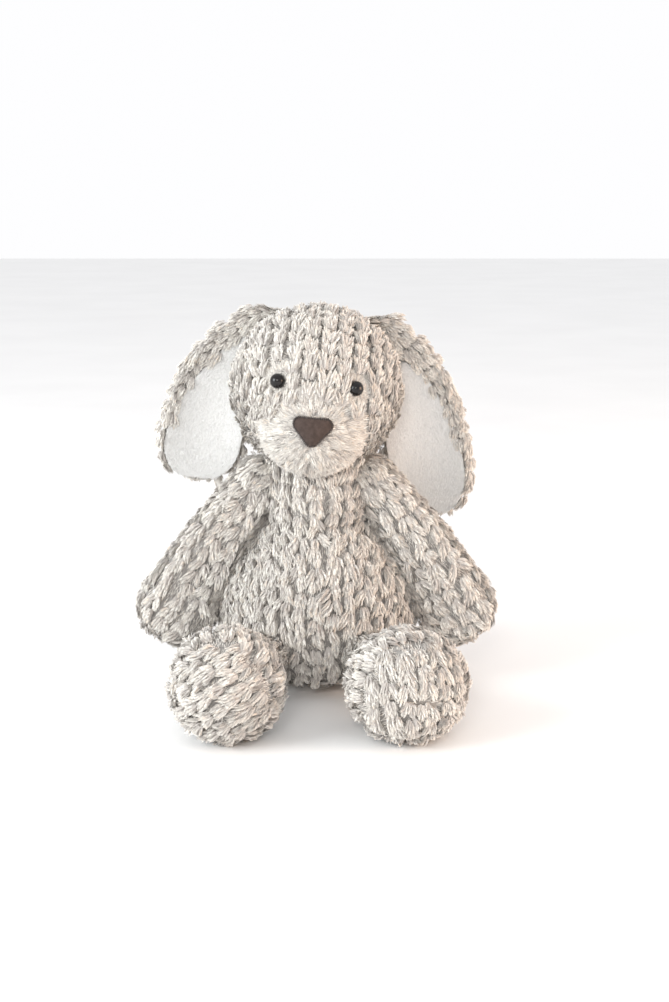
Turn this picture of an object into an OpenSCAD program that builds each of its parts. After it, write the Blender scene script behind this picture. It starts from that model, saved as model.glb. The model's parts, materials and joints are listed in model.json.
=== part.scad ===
// Seated plush dog with long drooping ears, stuffed and sewn, in millimetres.
// The toy sits on the plane z = 0 and faces -Y. Its own left side is +X.
// Each cover is a closed shell of fabric with its pile, cut into sewn panels that meet at the seams,
// and the stuffing, pellet bags and eye fittings are separate solids inside.

/* [Torso] */
// Width of the belly across the hips
torso_w = 124; // [116:1:128]
// Depth of the belly from front to back
torso_depth = 104; // [98:1:110]
// Height of the neck seam above the seat
torso_h = 132; // [130:1:136]
// Height of the widest part of the belly
belly_z = 45; // [42:1:48]
// Width across the chest under the shoulders
chest_w = 72; // [68:1:76]

/* [Head] */
// Radius of the head over its pile
head_r = 53; // [51:0.5:54]
// Height of the head's centre above the neck seam
head_rise = 54.5; // [54:0.5:56]
// Sideways tilt of the head at rest, towards the toy's left
head_tilt = 5.6; // [0:0.2:8]
// Radius of the muzzle
muzzle_r = 30; // [27:0.5:32]
// Width of the centre gusset that runs over the head
gusset_w = 36; // [30:1:40]

/* [Face] */
// Distance between the middles of the eyes
eye_span = 48; // [42:1:54]
// Diameter of one eye
eye_d = 9; // [8:0.5:10]
// Width of the nose patch
nose_w = 23; // [20:1:26]
// Height of the nose patch
nose_h = 18; // [15:1:20]

/* [Ears] */
// Half width of an ear at its lobe
ear_half_w = 27; // [24:1:28]
// Thickness of an ear, lining and back together
ear_thick = 8; // [7:0.5:9]
// How far an ear leans back on its way down, in degrees
ear_lean = 12; // [10:1:14]

/* [Arms] */
// Radius of an arm at the shoulder
shoulder_r = 15; // [13:0.5:16]
// Radius of an arm at the paw
paw_r = 24; // [21:0.5:25]
// Thickness of the flattened arm from front to back
arm_thick = 31; // [28:1:32]

/* [Legs] */
// Radius of a foot
foot_r = 33.5; // [31:0.5:34]
// Radius of the leg between the hip and the foot
leg_r = 14.5; // [12:0.5:15]
// How far a foot's middle lies in front of the torso's middle
foot_reach = 110; // [108:1:116]

/* [Cover] */
// Thickness of the cover, backing and pile together
cover = 3.5; // [3:0.25:4]
// Clearance between parts that move against each other
gap = 0.4; // [0.35:0.05:0.5]

/* [Hidden] */
$fn = 96;

LEFT = 1;
RIGHT = -1;
FAR = 400;            // longer than the toy, for half-space cuts
fill_gap = 0.3;       // between a cover and what fills it

knit = "#c9c4bf";
knit_dark = "#b9b4b0";
lining_white = "#eceae6";
felt = "#695c58";
eye_black = "#141110";
fibre = "#f4f2ee";
pellet_cloth = "#dcdad2";

// Torso
belly_r = torso_w / 2;
chest_r = chest_w / 2;
chest_z = torso_h - chest_r;
flat_r = 110;                         // large radius of the flattened front and back
flat_shift = flat_r - torso_depth / 2;
taper_a = asin((belly_r - chest_r) / (chest_z - belly_z));

// Neck and head
neck_p = [0, 0, torso_h + 1.2];       // middle of the neck seam, where the head pivots
neck_r = 14;
head_p = [0, -2, torso_h + head_rise];
muzzle_p = [0, -28, -20];             // from the head's centre
chin_z = -16;                         // the chin panel lies below this, from the head's centre
chin_y = -8;                          // and in front of this

// Face, from the head's centre
eye_r = eye_d / 2;
eye_rise = 8.8;
eye_dir = [eye_span / 2, -sqrt(head_r * head_r - pow(eye_span / 2, 2) - eye_rise * eye_rise), eye_rise];
eye_turn = atan2(eye_dir[1], eye_dir[0]);
eye_fall = acos(eye_dir[2] / norm(eye_dir));
shank_r = 1.7;
shank_l = 11;
washer_r = 5.5;
washer_t = 1.6;
washer_in = 6.2;                      // washer's outer face, below the head's surface
nose_z = -18.5;
nose_t = 1.8;
nose_round = 4;

// Ears, from the head's centre
ear_root = [36, 15, 36];
ear_root_r = 9;
ear_bend = [36, -40];                 // middle handle of the ear's centre line, from its root
ear_tip = [44, -106];
ear_round_from = 0.72;                // the lobe's round end starts here along the centre line
ear_rim = 4;                          // width of the knitted rim around the lining
lining_t = 3;

// Arms
shoulder_p = [41, -6, 120];
paw_p = [86, -6, 52];
arm_seam_y = shoulder_p[1] - 0.5;     // the seam between an arm's front and back panels

// Legs
hip_p = [34, -50, 26];
hip_r = 17;
leg_hip_r = 12;       // the leg is gathered to this radius where it leaves the hip
foot_p = [50, -foot_reach, foot_r - 1.5];
sole_cut = 14;                        // the sole starts this far in front of the foot's middle

// Tail
tail_p = [0, 52, 24];
tail_root_r = 9;
tail_tip_r = 9.5;
tail_tip_p = [0, 61.5, 26];
tail_slack = 0.8;      // the tail's hollow is this much wider than the other parts'

// The row's origin is below the middle of the toy's box
front_y = -foot_reach - foot_r;
back_y = tail_tip_p[1] + tail_tip_r;
centre_y = -(front_y + back_y) / 2;

function arc(c, r, a0, a1, n) =
    [for (i = [0 : n]) let (a = a0 + (a1 - a0) * i / n) [c[0] + r * cos(a), c[1] + r * sin(a)]];

function torso_outline(grow, floor_z) = concat(
    [[0, floor_z]],
    arc([0, belly_z], belly_r + grow, -asin((belly_z - floor_z) / (belly_r + grow)), taper_a, 16),
    arc([0, chest_z], chest_r + grow, taper_a, 90, 14));

function bezier(t, b, c) = 2 * (1 - t) * t * b + t * t * c;
function bezier_way(t, b, c) = let (d = 2 * (1 - t) * b + 2 * t * (c - b)) d / norm(d);

function ear_half(t) = (ear_root_r + (ear_half_w - ear_root_r) * sin(90 * min(1, t / 0.55)))
    * (t < ear_round_from ? 1
        : sqrt(max(0, 1 - pow((t - ear_round_from) / (1 - ear_round_from), 2))));

function ear_side(side, inset, steps) = [for (i = [0 : steps])
    let (t = sin(90 * i / steps) * (1 - inset / 130),
        d = bezier_way(t, ear_bend, ear_tip),
        w = max(0.05, ear_half(t) - inset) * side)
    bezier(t, ear_bend, ear_tip) + w * [-d[1], d[0]]];

function ear_outline(inset) =
    let (a = ear_side(1, inset, 26), b = ear_side(-1, inset, 26))
    concat(a, [for (i = [len(b) - 1 : -1 : 0]) b[i]]);

// Placement helpers

module placed() {
    translate([0, centre_y, 0]) children();
}

module in_head() {
    translate(head_p) rotate([0, head_tilt, 0]) children();
}

module on_side(side) {
    if (side == LEFT) children();
    else mirror([1, 0, 0]) children();
}

// Stands the children, built along +Z from the origin, along the line between two points
module along(a, b) {
    d = b - a;
    translate(a) rotate([0, acos(d[2] / norm(d)), atan2(d[1], d[0])]) children();
}

// Round at both ends, with the cone that touches both, standing on the first end's middle
module taper(r1, r2, length) {
    a = -asin((r2 - r1) / length);
    rotate_extrude() polygon(concat(arc([0, 0], r1, -90, a, 12), arc([0, length], r2, a, 90, 12)));
}

module front_half(y) {
    translate([-FAR / 2, y - FAR, -FAR / 2]) cube(FAR);
}

// Whole forms, grown or shrunk by a distance

module torso_form(grow, floor_z) {
    intersection() {
        rotate_extrude() polygon(torso_outline(grow, floor_z));
        translate([0, flat_shift, belly_z]) sphere(flat_r + grow);
        translate([0, -flat_shift, belly_z]) sphere(flat_r + grow);
    }
}

module arm_form(grow) {
    along(shoulder_p, paw_p) intersection() {
        taper(shoulder_r + grow, paw_r + grow, norm(paw_p - shoulder_p));
        translate([-FAR / 2, -arm_thick / 2 - grow, -FAR / 4])
            cube([FAR, arm_thick + 2 * grow, FAR]);
    }
}

module leg_tube(grow) {
    translate(hip_p) sphere(hip_r + grow);
    along(hip_p, foot_p) cylinder(h = norm(foot_p - hip_p), r1 = leg_hip_r + grow, r2 = leg_r + grow);
}

module foot_ball(grow) {
    intersection() {
        translate(foot_p) sphere(foot_r + grow);
        translate([-FAR / 2, -FAR / 2, -grow]) cube(FAR);
    }
}

module tail_form(grow) {
    along(tail_p, tail_tip_p)
        taper(tail_root_r + grow, tail_tip_r + grow, norm(tail_tip_p - tail_p));
}

module head_form(grow) {
    sphere(head_r + grow);
    translate(muzzle_p) sphere(muzzle_r + grow);
}

// Hollows that the moving parts' round roots sit in

module torso_sockets(extra) {
    translate(neck_p) sphere(neck_r + extra);
    translate(tail_p) sphere(tail_root_r + tail_slack + extra);
    for (side = [LEFT, RIGHT]) on_side(side) {
        translate(shoulder_p) sphere(shoulder_r + extra);
        translate(hip_p) sphere(hip_r + extra);
    }
}

module head_sockets(extra) {
    for (side = [LEFT, RIGHT]) on_side(side) translate(ear_root) sphere(ear_root_r + extra);
    rotate([0, -head_tilt, 0]) translate(neck_p - head_p) sphere(neck_r + extra);
}

// Torso

module torso_shell() {
    difference() {
        torso_form(0, 0);
        torso_form(-cover, cover);
        torso_sockets(gap);
    }
}

module torso_front_panel() {
    color(knit) placed() intersection() {
        torso_shell();
        front_half(0);
    }
}

module torso_back_panel(side) {
    color(knit_dark) placed() on_side(side) difference() {
        torso_shell();
        front_half(0);
        translate([-FAR, -FAR / 2, -FAR / 2]) cube(FAR);
        label_form(0.1);
    }
}

module torso_stuffing() {
    color(fibre) placed() difference() {
        torso_form(-cover - fill_gap, cover + fill_gap);
        torso_sockets(gap + fill_gap);
        pouch_form(fill_gap);
    }
}

module pouch_form(grow) {
    half = 8;
    reach = 26;
    translate([0, 0, cover + fill_gap + half + 6]) rotate_extrude()
        polygon(concat([[0, -half - grow]], arc([reach, 0], half + grow, -90, 90, 16),
            [[0, half + grow]]));
}

module seat_pellet_pouch() {
    color(pellet_cloth) placed() pouch_form(0);
}

// The label stands out of the closing seam, low on the back, above the tail
module label_form(grow) {
    label = [0.6, 12, 22];
    translate([-label[0] / 2 - grow, 50.4 - grow, 48 - grow])
        cube([label[0] + 2 * grow, label[1] + 2 * grow, label[2] + 2 * grow]);
}

module care_label() {
    color(lining_white) placed() label_form(0);
}

// Neck

module neck_wad() {
    color(fibre) placed() translate(neck_p) sphere(neck_r);
}

// Head

module head_shell() {
    difference() {
        head_form(0);
        head_form(-cover);
        head_sockets(gap);
        for (side = [LEFT, RIGHT]) on_side(side) eye_space(0.05);
    }
}

module chin_zone() {
    translate([-FAR / 2, -FAR + chin_y, -FAR + chin_z]) cube(FAR);
}

module gusset_zone() {
    translate([-gusset_w / 2, -FAR / 2, -FAR / 2]) cube([gusset_w, FAR, FAR]);
}

module head_side_panel(side) {
    color(knit) placed() in_head() on_side(side) difference() {
        head_shell();
        chin_zone();
        translate([-FAR + gusset_w / 2, -FAR / 2, -FAR / 2]) cube(FAR);
    }
}

module head_centre_gusset() {
    color(knit_dark) placed() in_head() difference() {
        intersection() {
            head_shell();
            gusset_zone();
        }
        chin_zone();
    }
}

module chin_panel() {
    color(knit) placed() in_head() intersection() {
        head_shell();
        chin_zone();
    }
}

module head_stuffing() {
    color(fibre) placed() in_head() difference() {
        head_form(-cover - fill_gap);
        head_sockets(gap + fill_gap);
        for (side = [LEFT, RIGHT]) on_side(side) {
            eye_space(fill_gap);
            at_eye() translate([0, 0, -washer_in - washer_t - fill_gap])
                cylinder(h = washer_t + 2 * fill_gap, r = washer_r + fill_gap);
        }
    }
}

// The eye's own axis, outward through the head's surface
module at_eye() {
    rotate([0, eye_fall, eye_turn]) translate([0, 0, head_r]) children();
}

// A domed head on a straight shank
module eye_space(grow) {
    at_eye() {
        translate([0, 0, -shank_l]) cylinder(h = shank_l, r = shank_r + grow);
        intersection() {
            translate([0, 0, -2.2]) sphere(eye_r + grow);
            translate([-eye_d, -eye_d, -3.2 - grow]) cube(2 * eye_d);
        }
    }
}

module eye(side) {
    color(eye_black) placed() in_head() on_side(side) eye_space(0);
}

// A toothed lock ring pressed onto the shank behind the cover
module eye_washer(side) {
    color(pellet_cloth) placed() in_head() on_side(side) at_eye()
        translate([0, 0, -washer_in - washer_t]) difference() {
            cylinder(h = washer_t, r = washer_r);
            translate([0, 0, -1]) cylinder(h = washer_t + 2, r = shank_r + 0.05);
        }
}

// A rounded triangle, wide at the top, that lies on the muzzle
module nose_patch() {
    w = nose_w / 2 - nose_round;
    h = nose_h / 2;
    color(felt) placed() in_head() difference() {
        intersection() {
            translate(muzzle_p) sphere(muzzle_r + nose_t);
            translate([0, 0, nose_z]) rotate([90, 0, 0]) linear_extrude(FAR)
                polygon(concat(
                    arc([0, nose_round - h], nose_round, -150, -30, 6),
                    arc([w, h - nose_round], nose_round, -30, 90, 6),
                    arc([-w, h - nose_round], nose_round, 90, 210, 6)));
        }
        head_form(0);
    }
}

// Ears

module at_ear() {
    translate(ear_root) rotate([ear_lean, 0, 0]) children();
}

// A flat leaf of the ear between two distances behind its front face
module ear_leaf(inset, from, to) {
    at_ear() translate([0, to - ear_thick / 2, 0]) rotate([90, 0, 0])
        linear_extrude(to - from) polygon(ear_outline(inset));
}

module ear_back(side) {
    color(knit) placed() in_head() on_side(side) {
        difference() {
            ear_leaf(0, 0, ear_thick);
            ear_leaf(ear_rim, -1, lining_t);
            head_form(gap);
        }
        difference() {
            translate(ear_root) sphere(ear_root_r);
            ear_leaf(ear_rim, -20, lining_t);
        }
    }
}

module ear_lining(side) {
    color(lining_white) placed() in_head() on_side(side) difference() {
        ear_leaf(ear_rim, 0, lining_t);
        head_form(gap);
        translate(ear_root) sphere(ear_root_r + gap);
    }
}

// Arms

module arm_shell() {
    difference() {
        arm_form(0);
        arm_form(-cover);
        arm_clearance(gap);
    }
}

// What the torso takes out of the arm, clear of the round shoulder
module arm_clearance(extra) {
    difference() {
        torso_form(extra, -extra);
        translate(shoulder_p) sphere(shoulder_r + gap / 2);
    }
}

module arm_panel(side, front) {
    color(front ? knit : knit_dark) placed() on_side(side) intersection() {
        arm_shell();
        if (front) front_half(arm_seam_y);
        else translate([-FAR / 2, arm_seam_y, -FAR / 2]) cube(FAR);
    }
}

module arm_stuffing(side) {
    color(fibre) placed() on_side(side) difference() {
        arm_form(-cover - fill_gap);
        arm_clearance(gap + cover);
    }
}

// Legs

module leg_cover(side) {
    color(knit_dark) placed() on_side(side) difference() {
        leg_tube(0);
        leg_tube(-cover);
        translate(foot_p) sphere(foot_r);
        leg_clearance();
    }
}

// What the torso takes out of the leg, clear of the round hip
module leg_clearance() {
    difference() {
        torso_form(gap, -gap);
        translate(hip_p) sphere(hip_r + gap / 2);
    }
}

module foot_shell() {
    difference() {
        foot_ball(0);
        foot_ball(-cover);
        leg_tube(-cover);
    }
}

module foot_panel(side) {
    color(knit) placed() on_side(side) difference() {
        foot_shell();
        front_half(foot_p[1] - sole_cut);
    }
}

module foot_sole(side) {
    color(knit_dark) placed() on_side(side) intersection() {
        foot_shell();
        front_half(foot_p[1] - sole_cut);
    }
}

module leg_stuffing(side) {
    color(fibre) placed() on_side(side) difference() {
        union() {
            leg_tube(-cover - fill_gap);
            foot_ball(-cover - fill_gap);
        }
        foot_bag_form(fill_gap);
    }
}

module foot_bag_form(grow) {
    translate(foot_p - [0, 0, 10]) sphere(12 + grow);
}

module foot_pellet_bag(side) {
    color(pellet_cloth) placed() on_side(side) foot_bag_form(0);
}

// Tail

module tail_cover() {
    color(knit) placed() difference() {
        tail_form(0);
        tail_form(-cover);
    }
}

module tail_stuffing() {
    color(fibre) placed() tail_form(-cover - fill_gap);
}

torso_front_panel();
torso_back_panel(LEFT);  // torso_back_panel_left
torso_back_panel(RIGHT);  // torso_back_panel_right
torso_stuffing();
seat_pellet_pouch();
care_label();
neck_wad();
head_side_panel(LEFT);  // head_left_panel
head_side_panel(RIGHT);  // head_right_panel
head_centre_gusset();
chin_panel();
head_stuffing();
nose_patch();
eye(LEFT);  // left_eye
eye(RIGHT);  // right_eye
eye_washer(LEFT);  // left_eye_washer
eye_washer(RIGHT);  // right_eye_washer
ear_back(LEFT);  // left_ear_back
ear_back(RIGHT);  // right_ear_back
ear_lining(LEFT);  // left_ear_lining
ear_lining(RIGHT);  // right_ear_lining
arm_panel(LEFT, true);  // left_arm_front_panel
arm_panel(RIGHT, true);  // right_arm_front_panel
arm_panel(LEFT, false);  // left_arm_back_panel
arm_panel(RIGHT, false);  // right_arm_back_panel
arm_stuffing(LEFT);  // left_arm_stuffing
arm_stuffing(RIGHT);  // right_arm_stuffing
leg_cover(LEFT);  // left_leg_cover
leg_cover(RIGHT);  // right_leg_cover
foot_panel(LEFT);  // left_foot_panel
foot_panel(RIGHT);  // right_foot_panel
foot_sole(LEFT);  // left_foot_sole
foot_sole(RIGHT);  // right_foot_sole
leg_stuffing(LEFT);  // left_leg_stuffing
leg_stuffing(RIGHT);  // right_leg_stuffing
foot_pellet_bag(LEFT);  // left_foot_pellet_bag
foot_pellet_bag(RIGHT);  // right_foot_pellet_bag
tail_cover();
tail_stuffing();
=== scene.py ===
"""Looks of the seated plush dog: sewn covers, knit-look pile, lined ears, face, floor, light, camera.

Everything is worked out in millimetres in the row frame and turned into metres when a mesh is made.
A Form is a closed cover as a grid of points. Each sewn panel is a window of a Form, made as a thin
backing. The pile on it is a real knit pattern: lines of stitches (wales), each stitch a pair of
leaf-shaped tufts, each tuft a soft core under loose strands.
"""

import json
import math

import bpy
import numpy as np
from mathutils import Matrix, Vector


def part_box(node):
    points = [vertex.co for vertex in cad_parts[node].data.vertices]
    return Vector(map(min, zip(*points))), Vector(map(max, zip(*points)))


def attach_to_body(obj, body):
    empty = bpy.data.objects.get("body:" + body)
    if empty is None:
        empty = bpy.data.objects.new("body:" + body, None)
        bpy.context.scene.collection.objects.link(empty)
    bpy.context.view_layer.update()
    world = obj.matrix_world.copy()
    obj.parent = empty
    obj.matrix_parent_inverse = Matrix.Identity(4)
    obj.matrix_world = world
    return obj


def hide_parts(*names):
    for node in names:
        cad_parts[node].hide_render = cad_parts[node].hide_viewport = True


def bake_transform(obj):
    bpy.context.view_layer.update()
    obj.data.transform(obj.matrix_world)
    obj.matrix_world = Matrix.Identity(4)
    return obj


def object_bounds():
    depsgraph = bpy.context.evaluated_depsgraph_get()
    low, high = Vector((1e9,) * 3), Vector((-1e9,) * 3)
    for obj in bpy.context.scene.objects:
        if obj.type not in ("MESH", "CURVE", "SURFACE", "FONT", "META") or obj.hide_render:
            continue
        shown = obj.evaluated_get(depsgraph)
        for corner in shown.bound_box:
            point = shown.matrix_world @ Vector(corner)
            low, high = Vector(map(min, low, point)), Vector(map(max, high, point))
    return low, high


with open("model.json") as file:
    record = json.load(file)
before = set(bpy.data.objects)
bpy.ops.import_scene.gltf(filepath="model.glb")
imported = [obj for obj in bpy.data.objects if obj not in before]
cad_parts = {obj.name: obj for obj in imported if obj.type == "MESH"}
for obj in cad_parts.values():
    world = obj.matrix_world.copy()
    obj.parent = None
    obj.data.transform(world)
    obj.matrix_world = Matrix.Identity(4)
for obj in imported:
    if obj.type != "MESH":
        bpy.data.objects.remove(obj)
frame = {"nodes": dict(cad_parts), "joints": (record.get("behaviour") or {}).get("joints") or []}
cad_bounds = [list(corner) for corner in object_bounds()]

MM = 0.001
rng = np.random.default_rng(4711)
SIDES = ((1, "left"), (-1, "right"))

# Pile
WALE = 9.5            # from one line of stitches to the next
ROW = 8.8             # from one stitch to the next along its wale
LEAF_L = 10.7
LEAF_W = 5.0
LEAF_H = 4.0
LEAF_TURN = 10        # degrees from the wale's direction
STRANDS = 84          # on each tuft
LOCKS = 3             # side by side in each tuft, each parted into three along it
STRAND_W = 0.6
PHASE_JITTER = 0.17   # how far wales are out of step, in stitches
LOCK_AGREES = 0.85    # share of a lock's strands that share its tone
UNDER_PER_MM2 = 0.5
UNDER_LENGTH = 3.6
BASE = 4.0            # from the CAD surface down to the backing
BACKING_T = 1.2
BUMP_DEPTH = 0.3
FLOOR_CLEAR = 0.35    # pile pressed flat on the floor stays this far above it

joint_at = {j["name"]: np.array(j["pos_m"]) / MM for j in frame["joints"]}


def box_mm(*nodes):
    """Lowest and highest corner of some CAD nodes together."""
    corners = [np.array([list(c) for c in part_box(n)]) / MM for n in nodes]
    return np.min([c[0] for c in corners], axis=0), np.max([c[1] for c in corners], axis=0)


def unit(v):
    return v / np.maximum(np.linalg.norm(v, axis=-1, keepdims=True), 1e-9)


def flattened(way, normal):
    """Directions laid along a surface."""
    return unit(way - normal * (way * normal).sum(-1, keepdims=True))


def smooth(x, a, b):
    t = np.clip((x - a) / (b - a), 0, 1)
    return t * t * (3 - 2 * t)


# ---------------------------------------------------------------- places, from the CAD

NECK = joint_at["head_nod"]
TAIL = joint_at["tail_wag"]
lo, hi = box_mm("head_left_panel", "head_right_panel", "head_centre_gusset")
HEAD_R = (hi[0] - lo[0]) / 2
HEAD = np.array([(hi[0] + lo[0]) / 2, hi[1] - HEAD_R, hi[2] - HEAD_R])
across = joint_at["left_ear_lift"] - joint_at["right_ear_lift"]
TILT = math.atan2(-across[2], across[0])
HEAD_AXES = np.array([
    [math.cos(TILT), 0, -math.sin(TILT)],
    [0, 1, 0],
    [math.sin(TILT), 0, math.cos(TILT)],
])


def local_middle(node):
    """The middle of a CAD node's box, in the head's own frame."""
    lo, hi = box_mm(node)
    return ((lo + hi) / 2 - HEAD) @ HEAD_AXES.T


MUZZLE = np.array([0, -28.0, -20.0])
MUZZLE_R = 30.0
NOSE_Z = local_middle("nose_patch")[2]
EYE = unit(local_middle("left_eye_washer"))

lo, hi = box_mm("torso_front_panel", "torso_back_panel_left", "torso_back_panel_right")
BELLY_R = (hi[0] - lo[0]) / 2
BELLY_Y = (hi[1] - lo[1]) / 2
MID_Y = (hi[1] + lo[1]) / 2
TOP_Z = hi[2]
BELLY_Z = 45.0
CHEST_R = 36.0

lo, hi = box_mm("left_foot_panel", "left_foot_sole")
FOOT_R = (hi[0] - lo[0]) / 2
FOOT = np.array([(hi[0] + lo[0]) / 2, lo[1] + FOOT_R, hi[2] - FOOT_R])
lo, hi = box_mm("left_arm_front_panel", "left_arm_back_panel")
PAW_R = 24.0
PAW = np.array([hi[0] - PAW_R, (lo[1] + hi[1]) / 2, lo[2] + PAW_R])
ARM_HALF_T = (hi[1] - lo[1]) / 2
SHOULDER_R = 15.0
ARM_TUCK = 12.0       # the arm's cover starts this far above its joint, under the jaw
LEG_R = 14.5
HIP_R = 17.0


def in_head(p):
    return HEAD + np.asarray(p, float) @ HEAD_AXES


def mirrored(p, side):
    return np.asarray(p, float) * np.array([side, 1, 1])


# ---------------------------------------------------------------- forms


class Form:
    """A closed cover: points[row, column], rows from pole to pole, columns all the way round.
    Bulge is the radius, in mm, that its pile follows."""

    def __init__(self, points, bulge):
        self.points = points
        self.bulge = bulge
        self.refresh()

    def refresh(self):
        p = self.points
        across = np.roll(p, -1, 1) - np.roll(p, 1, 1)
        along = np.gradient(p, axis=0)
        n = np.cross(across, along)
        for pole, ring in ((0, 1), (-1, -2)):
            n[pole] = unit(n[ring].mean(0))
        n = unit(n)
        outward = ((p - p.mean((0, 1))) * n).sum() > 0
        self.normals = n if outward else -n

    def at(self, u, v):
        """Points and normals at u, a share of the way round, and v, a share of the way from pole to pole."""
        rows, columns = self.points.shape[:2]
        x = np.mod(u, 1.0) * columns
        y = np.clip(v, 0, 1) * (rows - 1)
        j = np.floor(x).astype(int) % columns
        i = np.clip(np.floor(y).astype(int), 0, rows - 2)
        fx = (x - np.floor(x))[..., None]
        fy = (y - i)[..., None]
        out = []
        for g in (self.points, self.normals):
            k = (j + 1) % columns
            out.append((g[i, j] * (1 - fx) + g[i, k] * fx) * (1 - fy)
                       + (g[i + 1, j] * (1 - fx) + g[i + 1, k] * fx) * fy)
        return out[0], unit(out[1])

    def inside(self, p, depth=0.0):
        """True where a point lies deeper than depth under this form's surface."""
        flat = self.points[1:-1:2, ::2].reshape(-1, 3)
        normals = self.normals[1:-1:2, ::2].reshape(-1, 3)
        found = np.zeros(len(p), bool)
        for start in range(0, len(p), 512):
            q = p[start:start + 512]
            near = ((q[:, None] - flat[None]) ** 2).sum(-1).argmin(1)
            found[start:start + 512] = ((q - flat[near]) * normals[near]).sum(-1) < -depth
        return found


def arc(centre, r, a0, a1, n):
    a = np.radians(np.linspace(a0, a1, n))
    return [(centre[0] + r * math.cos(x), centre[1] + r * math.sin(x)) for x in a]


def even(outline, n):
    """An outline of (radius, height) pairs, resampled to n evenly spaced points."""
    o = np.array(outline, float)
    s = np.concatenate([[0], np.cumsum(np.linalg.norm(np.diff(o, axis=0), axis=1))])
    t = np.linspace(0, s[-1], n)
    return np.stack([np.interp(t, s, o[:, k]) for k in (0, 1)], 1)


def turned(outline, rows, columns):
    """Radius, height, cosine and sine grids of an outline turned round its axis."""
    o = even(outline, rows)
    a = np.linspace(0, 2 * math.pi, columns, endpoint=False)
    return o[:, :1], o[:, 1:], np.cos(a)[None], np.sin(a)[None]


FULLER = 1.2          # how much fuller than its CAD solid a cover is stuffed
SEAT_Z = 3.0
BACK_CURVE = 110.0    # radius to which the belly is flattened in front and behind
THIGH_LIFT = 8.0      # the seat rises this much in front, between the legs


def torso_form():
    """Column 0 is the middle of the front, and columns rise towards the toy's left."""
    belly = BELLY_R - BASE + FULLER
    chest = CHEST_R - BASE
    chest_z = TOP_Z - CHEST_R
    taper = math.degrees(math.asin((belly - chest) / (chest_z - BELLY_Z)))
    low = -math.degrees(math.asin((BELLY_Z - SEAT_Z) / belly))
    outline = [(0, SEAT_Z)]
    outline += arc((0, BELLY_Z), belly, low, taper, 30) + arc((0, chest_z), chest, taper, 90, 20)
    r, z, c, s = turned(outline, 78, 120)
    depth = np.sqrt((BACK_CURVE - BASE) ** 2 - (z - BELLY_Z) ** 2) - (BACK_CURVE - BELLY_Y)
    squeeze = np.minimum(1, depth / np.maximum(r, 1))
    lift = THIGH_LIFT * smooth(c, -0.1, 1.0) * smooth(-z, -34, -3)
    points = np.stack(np.broadcast_arrays(r * s, MID_Y - r * c * squeeze, z + lift), -1)
    return Form(points, bulge=55)


MUZZLE_BLEND = 9.0
CHEEK = (0.62, -0.7, -0.35)   # direction of each cheek's fullest point; x is mirrored
CHEEK_RISE = 1.6
CROWN_DROP = 1.0


def head_radius(d):
    """Distance from the head's middle to its backing, along directions d."""
    skull = HEAD_R - BASE
    reach = MUZZLE_R - 3.6
    along = d @ MUZZLE
    clear = reach ** 2 - MUZZLE @ MUZZLE + along ** 2
    muzzle = np.where(clear > 0, along + np.sqrt(np.maximum(clear, 0)), along + clear * 0.02)
    h = np.maximum(MUZZLE_BLEND - np.abs(skull - muzzle), 0) / MUZZLE_BLEND
    r = np.maximum(skull, muzzle) + h * h * MUZZLE_BLEND / 4
    x, y, z = d[..., 0], d[..., 1], d[..., 2]
    off_cheek = (np.abs(x) - CHEEK[0]) ** 2 + (z - CHEEK[2]) ** 2 + (y - CHEEK[1]) ** 2
    off_crown = (z - 1) ** 2 + x ** 2 * 0.4
    return r + CHEEK_RISE * np.exp(-off_cheek / 0.12) - CROWN_DROP * np.exp(-off_crown / 0.25)


def head_form():
    """Poles at the ears' sides: v runs from the toy's left to its right, u from the front over the top."""
    rows, columns = 90, 112
    polar = np.linspace(0, math.pi, rows)[:, None]
    turn = np.linspace(0, 2 * math.pi, columns, endpoint=False)[None]
    d = np.stack(np.broadcast_arrays(
        np.cos(polar) + 0 * turn, -np.sin(polar) * np.cos(turn), np.sin(polar) * np.sin(turn)), -1)
    return Form(in_head(d * head_radius(d)[..., None]), bulge=50)


ARM_SAG = 3.0         # how far the middle of an arm hangs outwards; its cover shows 0.6 of that
ARM_SQUARE = 0.07     # how far an arm's section is from round
PAW_BLUNT = 0.62      # below 1, the paw's end is blunter than a ball


def arm_axes(a, b, side):
    """Frame of an arm from a to b: way along it, out to its outer side, and front."""
    way = unit(b - a)
    front = np.array([0, -1.0, 0])
    out = unit(np.cross(front, way)) * side
    return way, out if out[0] * side > 0 else -out, front


def arm_form(side):
    """Column 0 is the outer edge, a quarter is the front, v 0 is the shoulder and 1 the paw's end."""
    a, b = mirrored(joint_at["left_shoulder"], side), mirrored(PAW, side)
    way, out, front = arm_axes(a, b, side)
    a = a - way * ARM_TUCK
    length = np.linalg.norm(b - a)
    r1, r2 = SHOULDER_R - BASE + 1.5, PAW_R - BASE + 2.0
    root = arc((0, 0), r1, -90, -math.degrees(math.asin((r2 - r1) / length)), 8)
    tip = [(r2 * max(math.cos(t), 0) ** PAW_BLUNT, length + r2 * math.sin(t) ** 0.92 * 0.98)
           for t in np.radians(np.linspace(0.5, 90, 20))]
    r, h, c, s = turned(root + tip, 62, 60)
    thin = np.minimum(1, (ARM_HALF_T - BASE + FULLER) / np.maximum(r, 1e-6)) ** 0.9
    square = 1 + ARM_SQUARE * np.sin(2 * np.arctan2(s, c)) ** 2
    points = (a + way * h[..., None] + out * (r * c * square)[..., None]
              + front * (r * s * thin * square)[..., None])
    sag = ARM_SAG * np.sin(math.pi * np.clip(h / length, 0, 1)) * side
    return Form(points + np.array([0.6, 0, 0]) * sag[..., None], bulge=28)


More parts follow.
